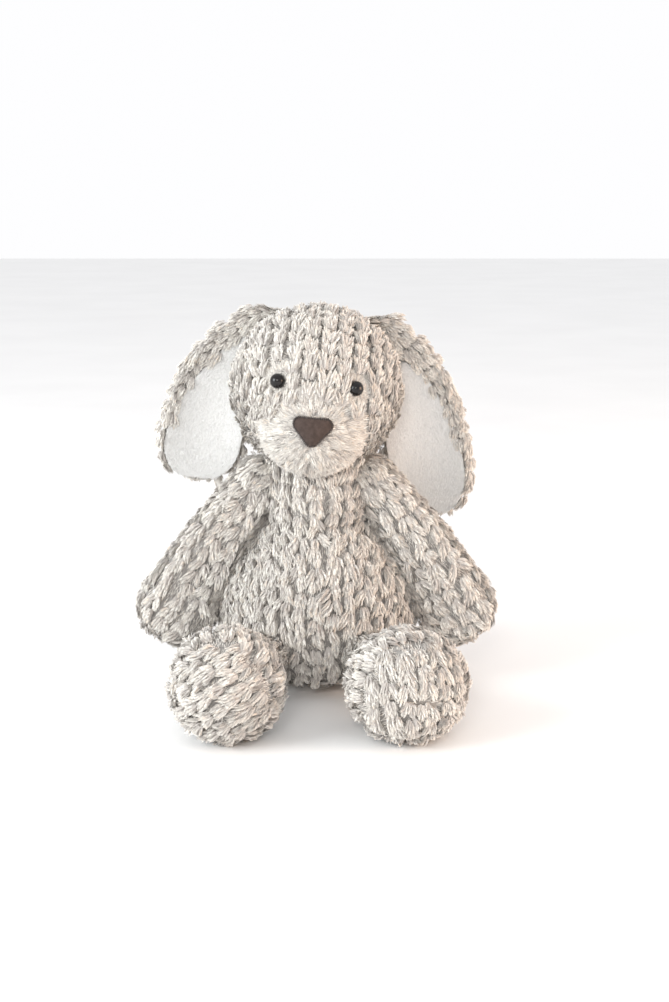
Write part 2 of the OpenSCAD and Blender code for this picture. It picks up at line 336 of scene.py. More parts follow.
FOOT_WIDTH = {1: 1.06, -1: 1.0}    # the stuffing has settled wider in the toy's left foot
FOOT_SPREAD = {1: 2.5, -1: 0.0}    # and it stands this much further out
FOOT_SEAM_Y = 12.0    # the sole's seam, this far in front of the foot's middle
FOOT_PRESS_Z = 9.0    # below this height the foot is pressed flat on the floor
FOOT_PRESS = 6.0      # and by this much at most, short of the floor


def foot_axes(side):
    """Frame of a foot: way to the middle of its sole, out to its outer side, and up."""
    way = unit(np.array([side * 0.20, -1.0, -0.02]))
    out = unit(np.cross(way, np.array([0, 0, 1.0])) * -side)
    out = out if out[0] * side > 0 else -out
    up = np.cross(out, way) * side
    return way, out, up if up[2] > 0 else -up


def foot_form(side):
    """v 0 is the middle of the sole, in front; column 0 is the outer side, a quarter is the top."""
    way, out, up = foot_axes(side)
    r0 = FOOT_R - BASE + 0.8
    outline = [(r0 * math.sin(t), r0 * math.cos(t)) for t in np.linspace(0, math.pi, 50)]
    r, h, c, s = turned(outline, 56, 72)
    seam = np.exp(-((h - FOOT_SEAM_Y) / 2.2) ** 2) * 0.8
    r = np.maximum(r - seam, 0)
    flat = 1 - 0.05 * smooth(h, 0, r0)
    middle = mirrored(FOOT, side) + np.array([FOOT_SPREAD[side], 0, 0])
    points = (middle + way * (h * flat)[..., None] + out * (r * c * FOOT_WIDTH[side])[..., None]
              + up * (r * s)[..., None])
    z = points[..., 2]
    pressed = FOOT_PRESS_Z - FOOT_PRESS * np.tanh((FOOT_PRESS_Z - z) / FOOT_PRESS)
    points[..., 2] = np.where(z < FOOT_PRESS_Z, pressed, z)
    return Form(points, bulge=32)


def tube(start, way, out, up, grids, bulge):
    """A form from the grids of a turned outline, laid along way from start."""
    r, h, c, s = grids
    return Form(start + way * h[..., None] + out * (r * c)[..., None] + up * (r * s)[..., None], bulge)


def leg_form(side):
    """A short tube from the hip, v 0, to inside the foot, v 1."""
    a, b = mirrored(joint_at["left_hip"], side), mirrored(FOOT, side)
    way = unit(b - a)
    up = unit(np.cross(way, np.array([1.0, 0, 0])))
    up = up if up[2] > 0 else -up
    out = unit(np.cross(way, up))
    out = out if out[0] * side > 0 else -out
    length = np.linalg.norm(b - a) - FOOT_R + 12
    r1, r2 = HIP_R - BASE + 1.5, LEG_R - BASE + 2.5
    outline = arc((0, 0), r1, -90, 0, 8) + [(r2, length * 0.5), (r2, length)] + [(0, length + 3)]
    return tube(a, way, out, up, turned(outline, 40, 44), 24)


TAIL_TIP_R = 9.5


def tail_form():
    _, hi = box_mm("tail_cover")
    tip = np.array([0, hi[1] - TAIL_TIP_R, hi[2] - TAIL_TIP_R])
    way = unit(tip - TAIL)
    out = np.array([1.0, 0, 0])
    length = np.linalg.norm(tip - TAIL)
    outline = arc((0, 0), 6, -90, 0, 6) + arc((0, length), 7.5, 0, 90, 10)
    return tube(TAIL, way, out, np.cross(out, way), turned(outline, 24, 28), 12)


# Radius and height of the neck's cover round its joint
NECK_OUTLINE = [(0, -30), (27, -30), (31, -22), (31.5, -12), (30, 0), (29.5, 8), (31, 17), (0, 17)]


def neck_form():
    """The gathered neck between torso and head. v 0 is the bottom, column 0 is the front."""
    r, h, c, s = turned(NECK_OUTLINE, 46, 72)
    points = np.stack(np.broadcast_arrays(r * s, NECK[1] - r * c, NECK[2] + h), -1)
    return Form(points, bulge=26)


# Ears: a centre line in the ear's own plane, from its root down to its lobe, for each side
EAR_START = np.array([-16.0, 7.0])
EAR_BEND = {1: np.array([36.0, -22.0]), -1: np.array([34.0, -26.0])}
EAR_TIP = {1: np.array([45.0, -120.0]), -1: np.array([35.0, -110.0])}
LINING_START = {1: 0.31, -1: 0.22}
EAR_HALF = 25.5
EAR_ROOT_HALF = 10.0
EAR_LOBE = 0.20       # share of the ear's length, at its end, that rounds off
EAR_INNER_RIM = 1.2
LINING_END = 0.025
LINING_STRANDS = 44000
EAR_LEAN = math.radians(12)


def ear_line(t, side):
    t = t[..., None]
    bend, tip = EAR_BEND[side], EAR_TIP[side]
    p = (1 - t) ** 2 * EAR_START + 2 * (1 - t) * t * bend + t ** 2 * tip
    return p, unit((1 - t) * (bend - EAR_START) + t * (tip - bend))


def ear_half(t):
    """Half of the ear's width at shares t of the way from root to lobe."""
    turn = np.radians(90 * np.minimum(1, t / (1 - EAR_LOBE)))
    grown = EAR_ROOT_HALF + (EAR_HALF - EAR_ROOT_HALF) * np.sin(turn)
    end = np.clip((t - (1 - EAR_LOBE)) / EAR_LOBE, 0, 1)
    return np.maximum(grown * np.sqrt(np.maximum(1 - end ** 2.4, 0)), 0.0)


def no_rims(_):
    return 0.0, 0.0


def lining_rims(t):
    """Widths of the knitted rim in front of the lining, along the outer and the inner edge."""
    return ear_outer_rim(t), EAR_INNER_RIM


def ear_outer_rim(t):
    """Wide at the top fold."""
    return 1.6 + 8.4 * (1 - smooth(t, 0.35, 0.95))


def round_head(points, share):
    """Keeps an ear outside the head, and the first part of it close to the head."""
    away = points - HEAD
    far = np.linalg.norm(away, axis=-1, keepdims=True)
    clear = HEAD_R - 1.0 - 6.0 * (1 - smooth(share, 0.04, 0.2))[..., None]
    roof = HEAD_R - 3.5 + (46.0 * smooth(share, 0.02, 0.36) + 90.0 * smooth(share, 0.3, 0.5))[..., None]
    return HEAD + away / far * np.clip(far, clear, np.maximum(roof, clear))


def ear_outline(side, rims, start, end, rows):
    """Per row: how far along the ear, its centre point and cross direction, and the sleeve's edges."""
    t = start + np.sin(np.linspace(0, math.pi / 2, rows)) * (1 - end - start)
    p, d = ear_line(t, side)
    n = np.stack([-d[:, 1], d[:, 0]], 1)
    w = ear_half(t)
    opening = np.sqrt(np.clip((t - start) / 0.10, 0, 1)) if start else 1.0
    outer, inner = rims(t)
    high = np.maximum(w - outer, 0) * opening
    low = -np.maximum(w - inner, 0) * opening
    return t[:, None], p, n, high[:, None], low[:, None]


def ear_sleeve(side, rims, start, end, half_t, forward):
    """A flat closed sleeve. Column 0 is the outer edge and a quarter is the back; v 1 is the lobe."""
    rows, columns = 84, 64
    share, p, n, high, low = ear_outline(side, rims, start, end, rows)
    a = np.linspace(0, 2 * math.pi, columns, endpoint=False)[None]
    w = (high - low) / 2
    q = ((high + low) / 2 + w * np.cos(a)) / EAR_HALF
    x = p[:, :1] + n[:, :1] * q * EAR_HALF
    z = p[:, 1:] + n[:, 1:] * q * EAR_HALF
    thick = half_t * np.minimum(1, w / 6) * np.abs(np.sin(a)) ** 0.8 * np.sign(np.sin(a))
    cup = 1.5 - 6.0 * q ** 2 + 1.6 * np.sin(3.1 * share + 0.6) * q
    flat = np.stack(np.broadcast_arrays(x * side, cup + thick - forward, z), -1)
    c, s = math.cos(EAR_LEAN), math.sin(EAR_LEAN)
    lean = np.array([[1, 0, 0], [0, c, s], [0, -s, c]])
    root = joint_at[("left" if side > 0 else "right") + "_ear_lift"]
    return Form(round_head(root + (flat @ lean) @ HEAD_AXES, share), bulge=60)


def ear_back_form(side):
    return ear_sleeve(side, no_rims, start=0.0, end=0.0, half_t=2.6, forward=0.0)


def ear_lining_form(side):
    return ear_sleeve(side, lining_rims, LINING_START[side], LINING_END, half_t=0.8, forward=3.4)


# ---------------------------------------------------------------- meshes


def new_object(name, verts, loops, totals, materials, indices=None, soft=False):
    me = bpy.data.meshes.new(name)
    verts = np.asarray(verts, np.float32)
    me.vertices.add(len(verts))
    me.vertices.foreach_set("co", (verts * MM).astype(np.float32).ravel())
    me.loops.add(len(loops))
    me.loops.foreach_set("vertex_index", np.asarray(loops, np.int32))
    totals = np.asarray(totals, np.int32)
    me.polygons.add(len(totals))
    me.polygons.foreach_set("loop_start", np.concatenate([[0], np.cumsum(totals)[:-1]]).astype(np.int32))
    for m in materials:
        me.materials.append(m)
    if indices is not None:
        me.polygons.foreach_set("material_index", np.asarray(indices, np.int32))
    if soft:
        me.polygons.foreach_set("use_smooth", np.ones(len(totals), bool))
    me.update(calc_edges=True)
    obj = bpy.data.objects.new(name, me)
    bpy.context.scene.collection.objects.link(obj)
    return obj


def faced(name, verts, faces, material_used, soft=True):
    """An object of one material from points and a list of faces."""
    return new_object(name, verts, [v for f in faces for v in f], [len(f) for f in faces],
                      [material_used], soft=soft)


def window_faces(form, wanted):
    """Corner indices of the grid's faces where wanted(u, v) holds, with each pole as one point."""
    rows, columns = form.points.shape[:2]
    index = np.arange(rows * columns).reshape(rows, columns)
    index[0] = index[0, 0]
    index[-1] = index[-1, 0]
    i, j = np.meshgrid(np.arange(rows - 1), np.arange(columns), indexing="ij")
    keep = wanted((j + 0.5) / columns, (i + 0.5) / (rows - 1))
    i, j = i[keep], j[keep]
    k = (j + 1) % columns
    return [list(dict.fromkeys(f)) for f in np.stack(
        [index[i, j], index[i, k], index[i + 1, k], index[i + 1, j]], 1).tolist()]


def whole(u, v):
    return np.ones(np.shape(u), bool)


def compact(faces):
    """The points that faces use, and the faces counted from those points alone."""
    used = sorted({c for f in faces for c in f})
    place = {c: n for n, c in enumerate(used)}
    return used, [[place[c] for c in f] for f in faces]


def backing(name, form, wanted, material_used, thick=BACKING_T):
    """A sewn panel: a closed thin shell over a window of a form."""
    used, outer = compact(window_faces(form, wanted))
    p = form.points.reshape(-1, 3)[used]
    n = form.normals.reshape(-1, 3)[used]
    middle = outer[len(outer) // 2]
    a, b, c = p[middle[:3]]
    if np.dot(np.cross(b - a, c - b), n[middle[0]]) < 0:
        outer = [f[::-1] for f in outer]
    count = len(used)
    inner = [[v + count for v in f[::-1]] for f in outer]
    edges = {edge: True for f in outer for edge in zip(f, f[1:] + f[:1])}
    rim = [[y, x, x + count, y + count] for x, y in edges if (y, x) not in edges]
    return faced(name, np.concatenate([p, p - n * thick]), outer + inner + rim, material_used)


def filling(name, form, material_used, sink):
    """The stuffing under a cover: the whole form, shrunk."""
    used, faces = compact(window_faces(form, whole))
    verts = (form.points - form.normals * sink).reshape(-1, 3)
    return faced(name, verts[used], faces, material_used)


# ---------------------------------------------------------------- materials


def material(name, color, roughness=0.9, sheen=0.0, sheen_tint=(1, 1, 1), specular=0.3):
    m = bpy.data.materials.new(name)
    m.use_nodes = True
    b = m.node_tree.nodes["Principled BSDF"]
    b.inputs["Base Color"].default_value = (*color, 1)
    b.inputs["Roughness"].default_value = roughness
    b.inputs["Sheen Weight"].default_value = sheen
    b.inputs["Sheen Tint"].default_value = (*sheen_tint, 1)
    b.inputs["Specular IOR Level"].default_value = specular
    return m


def object_place(m, stretch):
    """The object's own coordinates, stretched."""
    nodes, links = m.node_tree.nodes, m.node_tree.links
    place = nodes.new("ShaderNodeTexCoord")
    mapping = nodes.new("ShaderNodeMapping")
    mapping.inputs["Scale"].default_value = stretch
    links.new(place.outputs["Object"], mapping.inputs["Vector"])
    return mapping.outputs["Vector"]


def noise_on(m, place, scale, detail):
    noise = m.node_tree.nodes.new("ShaderNodeTexNoise")
    noise.inputs["Scale"].default_value = scale
    noise.inputs["Detail"].default_value = detail
    m.node_tree.links.new(place, noise.inputs["Vector"])
    return noise.outputs["Fac"]


def mottle(m, dark, light, scale, bump, bump_scale, stretch=(1, 1, 1)):
    """Noise between two colours, with a fine bump, in the object's own coordinates."""
    nodes, links = m.node_tree.nodes, m.node_tree.links
    shader = nodes["Principled BSDF"]
    place = object_place(m, stretch)
    coarse = noise_on(m, place, scale, 4.0)
    ramp = nodes.new("ShaderNodeValToRGB")
    for stop, at, color in zip(ramp.color_ramp.elements, (0.32, 0.68), (dark, light)):
        stop.position = at
        stop.color = (*color, 1)
    links.new(coarse, ramp.inputs["Fac"])
    links.new(ramp.outputs["Color"], shader.inputs["Base Color"])
    fine = noise_on(m, place, bump_scale, 6)
    node = nodes.new("ShaderNodeBump")
    node.inputs["Strength"].default_value = bump
    node.inputs["Distance"].default_value = BUMP_DEPTH * MM
    links.new(fine, node.inputs["Height"])
    links.new(node.outputs["Normal"], shader.inputs["Normal"])
    return m


# Pile tones: a random spread of fibre colours. SHADE also paints the shade at the tufts' roots, inside them
# and between them, and LIGHT paints the highlight on their tips.
SHADE, MID, LIGHT, WARM = range(4)
pile_tones = [
    material("pile_shade", (0.51, 0.475, 0.445), 0.95, 0.25),
    material("pile_mid", (0.65, 0.615, 0.57), 0.92, 0.3),
    material("pile_light", (0.82, 0.79, 0.735), 0.9, 0.35),
    material("pile_warm", (0.75, 0.665, 0.575), 0.92, 0.3),
]
lining_tones = [
    material("lining_shade", (0.80, 0.795, 0.785), 0.95, 0.3),
    material("lining_light", (0.85, 0.845, 0.83), 0.92, 0.3),
]
# The knit backing is dark grey with a random mottle: its darkness is painted shade of the valleys between
# the tufts.
knit_backing_painted_shade = mottle(material("knit_backing_painted_shade", (0.34, 0.32, 0.30)), (0.28, 0.265, 0.25),
                      (0.40, 0.38, 0.36), 260, bump=0.6, bump_scale=900)
lining_backing = mottle(material("lining_backing", (0.82, 0.815, 0.81)), (0.78, 0.775, 0.77),
                        (0.86, 0.855, 0.85), 220, bump=0.4, bump_scale=1500)
fibre = mottle(material("fibre_fill", (0.85, 0.85, 0.83)), (0.8, 0.79, 0.76), (0.93, 0.93, 0.92), 120,
               bump=0.8, bump_scale=300)


# ---------------------------------------------------------------- pile


class Tufts:
    """Tufts of one form: where each is rooted, which way it lies, how big and how light it is."""

    def __init__(self, rows=None):
        self.rows = rows or []

    def add(self, root, way, normal, size, tone, bulge, u, v):
        self.rows.append([root, way, normal, size, tone, np.full(len(root), bulge), np.mod(u, 1), v])

    def all(self):
        return [np.concatenate([r[k] for r in self.rows]) for k in range(8)]

    def window(self, wanted):
        """Only the tufts rooted where wanted(u, v) holds."""
        if not self.rows:
            return self
        columns = self.all()
        keep = wanted(columns[6], columns[7])
        return Tufts([[c[keep] for c in columns]] if keep.any() else [])


def wale(form, u, v, nap, phase):
    """Stitches at an even pitch along a line on a form. nap 1 lays the pile along the line, -1 against."""
    p, _ = form.at(u, v)
    s = np.concatenate([[0], np.cumsum(np.linalg.norm(np.diff(p, axis=0), axis=1))])
    first = rng.uniform(0.1, 0.9) if phase is None else phase + rng.normal(0, PHASE_JITTER)
    t = np.arange(first * ROW, s[-1], ROW)
    if len(t) == 0:
        return None
    t = t + rng.normal(0, 0.6, len(t))
    uu, vv = np.interp(t, s, u), np.interp(t, s, v)
    pos, normal = form.at(uu, vv)
    ahead, _ = form.at(np.interp(t + 1, s, u), np.interp(t + 1, s, v))
    behind, _ = form.at(np.interp(t - 1, s, u), np.interp(t - 1, s, v))
    return pos, normal, unit(ahead - behind) * nap, uu, vv


def stitches(tufts, form, u, v, nap, keep=None, width=1.0, phase=None, mess=1.0):
    """Lays one wale's stitches on a form, each a pair of tufts that part like a V."""
    found = wale(form, u, v, nap, phase)
    if found is None:
        return
    pos, normal, way, uu, vv = found
    ok = np.ones(len(pos), bool) if keep is None else keep(pos)
    pos, normal, way, uu, vv = pos[ok], normal[ok], way[ok], uu[ok], vv[ok]
    if len(pos) == 0:
        return
    way = flattened(way, normal)
    side = np.cross(normal, way)
    for hand in (1, -1):
        turn = np.radians(LEAF_TURN * hand + rng.normal(0, 9 * mess, len(pos)))[:, None]
        lay = way * np.cos(turn) + side * np.sin(turn)
        shift = side * (hand * LEAF_W * 0.24 * width + rng.normal(0, 0.3 * mess, len(pos)))[:, None]
        along = way * (rng.normal(0, 0.8 * mess, len(pos)) - ROW / 2)[:, None]
        size = width * rng.normal(1, 0.10, len(pos)).clip(0.78, 1.22)
        tone = rng.beta(1.6, 1.3, len(pos))
        tufts.add(pos + shift + along, lay, normal, size, tone, form.bulge, uu, vv)


def wales_round(out, form, count, v, nap, path=None, first=0.0, **lay):
    """Wales at an even spacing all the way round a form. path(k, v) shifts wale k sideways."""
    for k in range(count):
        aside = 0 * v if path is None else path(k, v)
        stitches(out, form, (k + first) / count + aside, v, nap, **lay)
    return out


def wale_lines(span, middle=True):
    """Offsets of wales across a span, centred."""
    n = int(span // WALE)
    start = 0.0 if middle else WALE / 2
    return [k for k in np.arange(-n, n + 1) * WALE + start if abs(k) <= span]


def lifted(l, a, h, root, way, side, normal, bulge):
    """Points of a tuft from its own coordinates, following the form's curve."""
    h = h - (l * l + a * a) / (2 * bulge)
    return root + way * l[..., None] + side * a[..., None] + normal * h[..., None]


def spread(*columns):
    """Per-tuft values shaped to meet a grid of points in each tuft."""
    return [x[:, None, None] for x in columns]


# The soft core under a tuft's strands: five rings and two ends
CORE_RINGS = np.array([0.05, 0.22, 0.45, 0.68, 0.87])
CORE_HALF = np.array([0.30, 0.72, 0.92, 0.80, 0.42])
CORE_RISE = np.array([0.25, 0.55, 0.78, 0.88, 0.85])
CORE_ENDS = ((0.0, 0.05), (0.99, 0.5))
SPOKES = 6


def core_faces():
    """Corner indices and corner counts of one core's faces."""
    count = len(CORE_RINGS)
    around = [(m, (m + 1) % SPOKES) for m in range(SPOKES)]
    quads = [[k + x, k + y, k + y + SPOKES, k + x + SPOKES]
             for k in range(0, (count - 1) * SPOKES, SPOKES) for x, y in around]
    first, last, k = count * SPOKES, count * SPOKES + 1, (count - 1) * SPOKES
    tris = [[y, x, first] for x, y in around] + [[k + x, k + y, last] for x, y in around]
    return [v for f in quads + tris for v in f], [4] * len(quads) + [3] * len(tris)


def cores(tufts):
    """A soft teardrop under each tuft's strands."""
    root, way, normal, size, tone, bulge = tufts[:6]
    side = np.cross(normal, way)
    spokes = np.radians(np.arange(0, 360, 360 // SPOKES))
    n, big = len(root), size[:, None, None]
    half = CORE_HALF[None, :, None]
    l = CORE_RINGS[None, :, None] * LEAF_L * big + np.zeros(SPOKES)[None, None]
    a = half * np.cos(spokes) * LEAF_W / 2 * big
    h = (CORE_RISE[None, :, None] * LEAF_H * 0.62 + half * np.sin(spokes) * LEAF_H * 0.36) * big
    rings = lifted(l, a, h, *spread(root, way, side, normal, bulge)).reshape(n, -1, 3)
    ends = []
    for at, rise in CORE_ENDS:
        l = np.full(n, at) * LEAF_L * size
        ends.append(lifted(l, l * 0, rise * LEAF_H * size, root, way, side, normal, bulge)[:, None])
    verts = np.concatenate([rings] + ends, 1)
    corners, totals = core_faces()
    loops = (np.array(corners)[None] + (np.arange(n) * verts.shape[1])[:, None]).ravel()
    # Cores take only the middle or the dark tone, by the tuft's random tone: painted shade inside the tuft,
    # under its strands.
    indices = np.repeat(np.where(tone > 0.35, MID, SHADE), len(totals))
    return verts.reshape(-1, 3), loops, np.tile(totals, n), indices


RIBBON_TAPER = np.array([0.8, 1.0, 0.62])
RIBBON_CORNERS = np.array([0, 1, 3, 2, 2, 3, 5, 4, 4, 5, 6])    # two quads and a triangle


def ribbons(points, across, width, tones):
    """Tapered ribbons through four points each, in three lengths with a tone of their own."""
    n = len(points)
    w = across[:, None] * (width[:, None] * RIBBON_TAPER)[..., None] / 2
    pair = np.stack([points[:, :3] - w, points[:, :3] + w], 2).reshape(n, 6, 3)
    verts = np.concatenate([pair, points[:, 3:]], 1)
    loops = (RIBBON_CORNERS[None] + (np.arange(n) * 7)[:, None]).ravel()
    return verts.reshape(-1, 3), loops, np.tile([4, 4, 3], n), tones.ravel()


def rolled(points, normal, degrees):
    """The way across each ribbon: flat over the surface, then rolled at random by some degrees."""
    line = unit(points[:, 3] - points[:, 0])
    flat = unit(np.cross(line, normal))
    roll = np.radians(rng.normal(0, degrees, len(points)))[:, None]
    return flat * np.cos(roll) + np.cross(line, flat) * np.sin(roll)


def pick_tones(light, n, m, start=0.5, lock=None):
    """A tone for each length of each strand, from a random spread of tones: darker at the root as painted
    shade, and light or warm at the tip, the light tone as painted highlight.
    Start, from 0 to 1, is how far along its tuft a strand is rooted; strands rooted further along come out
    lighter, a painted highlight towards the tuft's end. Strands of one lock mostly agree."""
    lock = np.zeros((n, m), int) if lock is None else lock
    shared = np.take_along_axis(rng.random((3, n, lock.max() + 1)), lock[None] + np.zeros((3, 1, 1), int), 2)
    r = np.where(rng.random((n, m)) < LOCK_AGREES, shared, rng.random((3, n, m)))
    # Light tones grow likelier with the tuft's own random tone and with start (painted highlight towards the
    # tuft's end); the root length takes mostly the dark tone, painted shade at the root.
    chance = np.clip(0.12 + 0.62 * light[:, None] + 0.5 * (start - 0.4), 0.03, 0.95)
    first = np.where(r[0] < 0.95 - 0.6 * chance, SHADE, MID)
    second = np.where(r[1] < chance * 0.8, LIGHT, np.where(r[1] > 0.6 + 0.4 * chance, SHADE, MID))
    third = np.where(r[2] < chance, LIGHT, MID)
    second = np.where(r[1] > 0.95, WARM, second)
    third = np.where(r[2] > 0.9, WARM, third)
    return np.stack([first, second, third], -1).reshape(n * m, 3)


def per_lock(draw, lock):
    """One drawn value for each lock of each tuft, given to all its strands."""
    return np.take_along_axis(draw, lock, 1)


def strand_lay(n, m):
    """Where each strand of n tufts starts, and which way, how steeply and how far it goes.
    Strands of one lock lean, rise and reach alike, and draw together towards their tips."""
    start = rng.uniform(-0.02, 0.78, (n, m))
    lean = rng.uniform(-1, 1, (n, m))
    column = np.clip(((lean + 1) / 2 * LOCKS).astype(int), 0, LOCKS - 1)
    lock = column + LOCKS * np.clip((start * 3.8).astype(int), 0, 2)
    centre = (column + 0.5) / LOCKS * 2 - 1
    shape = (n, 3 * LOCKS)
    own = per_lock(rng.normal(0, 1, shape), lock)
    splay = centre * 0.33 + own * 0.21 + rng.normal(0, 0.07, (n, m)) + (centre - lean) * 0.4
    own = per_lock(rng.normal(0, 1, shape), lock)
    rise = np.radians(34 + 11 * own + rng.normal(0, 6, (n, m)) - 12 * start)
    own = per_lock(rng.uniform(3.9, 6.4, shape), lock)
    length = (own + rng.normal(0, 0.45, (n, m))) * (1.08 - 0.35 * start)
    return start, lean, lock, splay, rise, length


def tuft_strands(tufts):
    root, way, normal, size, tone, bulge = tufts[:6]
    n, m = len(root), STRANDS
    start, lean, lock, splay, rise, length = strand_lay(n, m)
    body = np.sin(np.pi * np.clip(start + 0.12, 0, 1) ** 0.85) ** 0.6
    a0 = lean * LEAF_W * 0.46 * body
    h0 = LEAF_H * (0.25 + 0.62 * np.sqrt(1 - lean ** 2) * body)
    f = np.array([0, 0.38, 0.72, 1.0])
    reach = length[..., None] * f
    l = start[..., None] * LEAF_L + reach * (np.cos(rise) * np.cos(splay))[..., None]
    a = a0[..., None] + reach * np.sin(splay)[..., None] * (1 - 0.55 * f)
    h = h0[..., None] + reach * np.sin(rise)[..., None] * (1 - 0.45 * f)
    big, *frames = spread(size, root, way, np.cross(normal, way), normal, bulge)
    p = lifted(l * big, a * big, h * big, *frames).reshape(n * m, 4, 3)
    across = rolled(p, np.repeat(normal, m, axis=0), 13)
    width = STRAND_W * rng.uniform(0.75, 1.25, n * m)
    return ribbons(p, across, width, pick_tones(tone, n, m, start, lock))


def merged(parts):
    """Several (verts, loops, totals, indices) as one."""
    verts, loops, totals, indices, base = [], [], [], [], 0
    for v, l, t, i in parts:
        verts.append(v)
        loops.append(l + base)
        totals.append(t)
        indices.append(i)
        base += len(v)
    return [np.concatenate(x) for x in (verts, loops, totals, indices)]


def settle(verts):
    """Pile that would pass through the floor lies on it."""
    low = verts[:, 2] < FLOOR_CLEAR
    verts[low, 2] = FLOOR_CLEAR
    return verts


def pile(name, tufts, extra=(), tones=None):
    """The pile of one panel: its tufts, if it has any, and extra ribbons."""
    parts = []
    if tufts is not None and tufts.rows:
        rows = tufts.all()
        parts += [cores(rows), tuft_strands(rows)]
    parts += list(extra)
    verts, loops, totals, indices = merged(parts)
    obj = new_object(name, settle(verts), loops, totals, tones or pile_tones, indices)
    return obj


def under_pile(form, wanted, keep=None):
    """Short strands rooted all over a window, so that no backing shows between the tufts; their dark tones
    are painted shade between the tufts.
    """
    p = form.points
    across = np.linalg.norm(np.roll(p, -1, 1) - p, axis=-1)[:-1]
    along = np.linalg.norm(p[1:] - p[:-1], axis=-1)
    area = (across * along).ravel()
    count = int(area.sum() * UNDER_PER_MM2)
    cell = rng.choice(len(area), count, p=area / area.sum())
    rows, columns = p.shape[:2]
    u = (cell % columns + rng.random(count)) / columns
    v = (cell // columns + rng.random(count)) / (rows - 1)
    ok = wanted(u, v)
    u, v = u[ok], v[ok]
    pos, normal = form.at(u, v)
    if keep is not None:
        ok = keep(pos)
        pos, normal, u, v = pos[ok], normal[ok], u[ok], v[ok]
    ahead, _ = form.at(u, np.minimum(v + 0.02, 1))
    way = flattened(unit(ahead - pos + rng.normal(0, 0.6, pos.shape)), normal)
    length = np.full(len(pos), UNDER_LENGTH)
    # light=0.3 makes these strands darker than the tufts: painted shade in the gaps between them.
    return long_pile(pos, way, normal, form.bulge, length, 1, 0.3, rise=26, light=0.3)


def long_pile(root, way, normal, bulge, length, count, lock, rise, width=0.5, light=0.6):
    """Locks of straight pile: strands that start round a point and lean together."""
    n, m = len(root), count
    a0 = rng.normal(0, lock, (n, m))
    l0 = rng.normal(0, lock, (n, m))
    up = np.radians(rng.normal(rise, 7, (n, m)))
    f = np.array([0, 0.35, 0.7, 1.0])
    reach = (length[:, None] * rng.uniform(0.75, 1.15, (n, m)))[..., None] * f
    l = l0[..., None] * (1 - 0.5 * f) + reach * np.cos(up)[..., None]
    a = a0[..., None] * (1 - 0.8 * f) + reach * rng.normal(0, 0.10, (n, m))[..., None]
    h = 0.1 + reach * np.sin(up)[..., None] * (1 - 0.35 * f)
    frames = spread(root, way, np.cross(normal, way), normal, np.full(n, bulge))
    p = lifted(l, a, h, *frames).reshape(n * m, 4, 3)
    across = rolled(p, np.repeat(normal, m, axis=0), 14)
    tone = np.clip(rng.normal(light, 0.28, n), 0, 1)
    return ribbons(p, across, width * rng.uniform(0.75, 1.25, n * m), pick_tones(tone, n, m))


# ---------------------------------------------------------------- stuffing

SWELL_FRAMES = 12
SWELL_CAP = 3.0       # the furthest that stuffing may push a point of a cover, mm
SWELL_FLOOR = 2.5     # and the lowest that it may end up


CLOTH_SETTINGS = {
    "quality": 4, "mass": 0.25, "tension_stiffness": 12, "compression_stiffness": 12,
    "shear_stiffness": 4, "bending_stiffness": 0.4, "air_damping": 4, "use_pressure": True,
    "uniform_pressure_force": 3.0, "vertex_group_mass": "held",
}


def grid_share(form):
    """The shares u and v of every point of a form's grid."""
    rows, columns = form.points.shape[:2]
    v, u = np.meshgrid(np.arange(rows) / (rows - 1), np.arange(columns) / columns, indexing="ij")
    return u, v


def swell(start, faces, pins):
    """Where points go when the cloth between the pins is blown up for a few frames."""
    obj = new_object("swelling", start, [c for f in faces for c in f], [len(f) for f in faces], [])
    obj.vertex_groups.new(name="held").add(pins, 1.0, "REPLACE")
    cloth = obj.modifiers.new("cloth", "CLOTH")
    for key, value in CLOTH_SETTINGS.items():
        setattr(cloth.settings, key, value)
    cloth.settings.effector_weights.gravity = 0
    cloth.collision_settings.use_collision = False
    cloth.point_cache.frame_start, cloth.point_cache.frame_end = 1, SWELL_FRAMES
    scene = bpy.context.scene
    for f in range(1, SWELL_FRAMES + 1):
        scene.frame_set(f)
    swollen = obj.evaluated_get(bpy.context.evaluated_depsgraph_get()).data
    co = np.zeros(len(start) * 3, np.float32)
    swollen.vertices.foreach_get("co", co)
    scene.frame_set(1)
    bpy.data.objects.remove(obj)
    return co.reshape(-1, 3) / MM


def stuff(forms):
    """Swells sewn covers with a short cloth simulation under pressure, held along their seams.
    Forms is a list of (form, pinned), where pinned(u, v) says which points a seam holds."""
    verts, faces, pins, bases, base = [], [], [], [], 0
    for form, pinned in forms:
        verts.append(form.points.reshape(-1, 3))
        faces += [[c + base for c in f] for f in window_faces(form, whole)]
        u, v = grid_share(form)
        pins += (np.flatnonzero(pinned(u, v) | (v == 0) | (v == 1)) + base).tolist()
        bases.append(base)
        base += u.size
    start = np.concatenate(verts)
    moved = swell(start, faces, pins) - start
    far = np.linalg.norm(moved, axis=1, keepdims=True)
    moved *= np.minimum(1, SWELL_CAP / np.maximum(far, 1e-9))
    for (form, _), base in zip(forms, bases):
        shape = form.points.shape
        step = moved[base:base + shape[0] * shape[1]].reshape(shape)
        step[0], step[-1] = 0, 0
        form.points = form.points + step
        form.points[..., 2] = np.maximum(form.points[..., 2], SWELL_FLOOR)
        form.refresh()
    print("stuffing moved the covers by up to", round(float(far.max()), 2), "mm, mean",
          round(float(far.mean()), 2))


# ---------------------------------------------------------------- putting pieces on bodies


def attach(piece, body, bend=None):
    """Rides on a body, or, given a bend, only has its transform baked into its mesh and rides on none; the
    bodies and points in bend are not used.
    """
    if bend is None:
        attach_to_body(piece, body)
    else:
        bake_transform(piece)


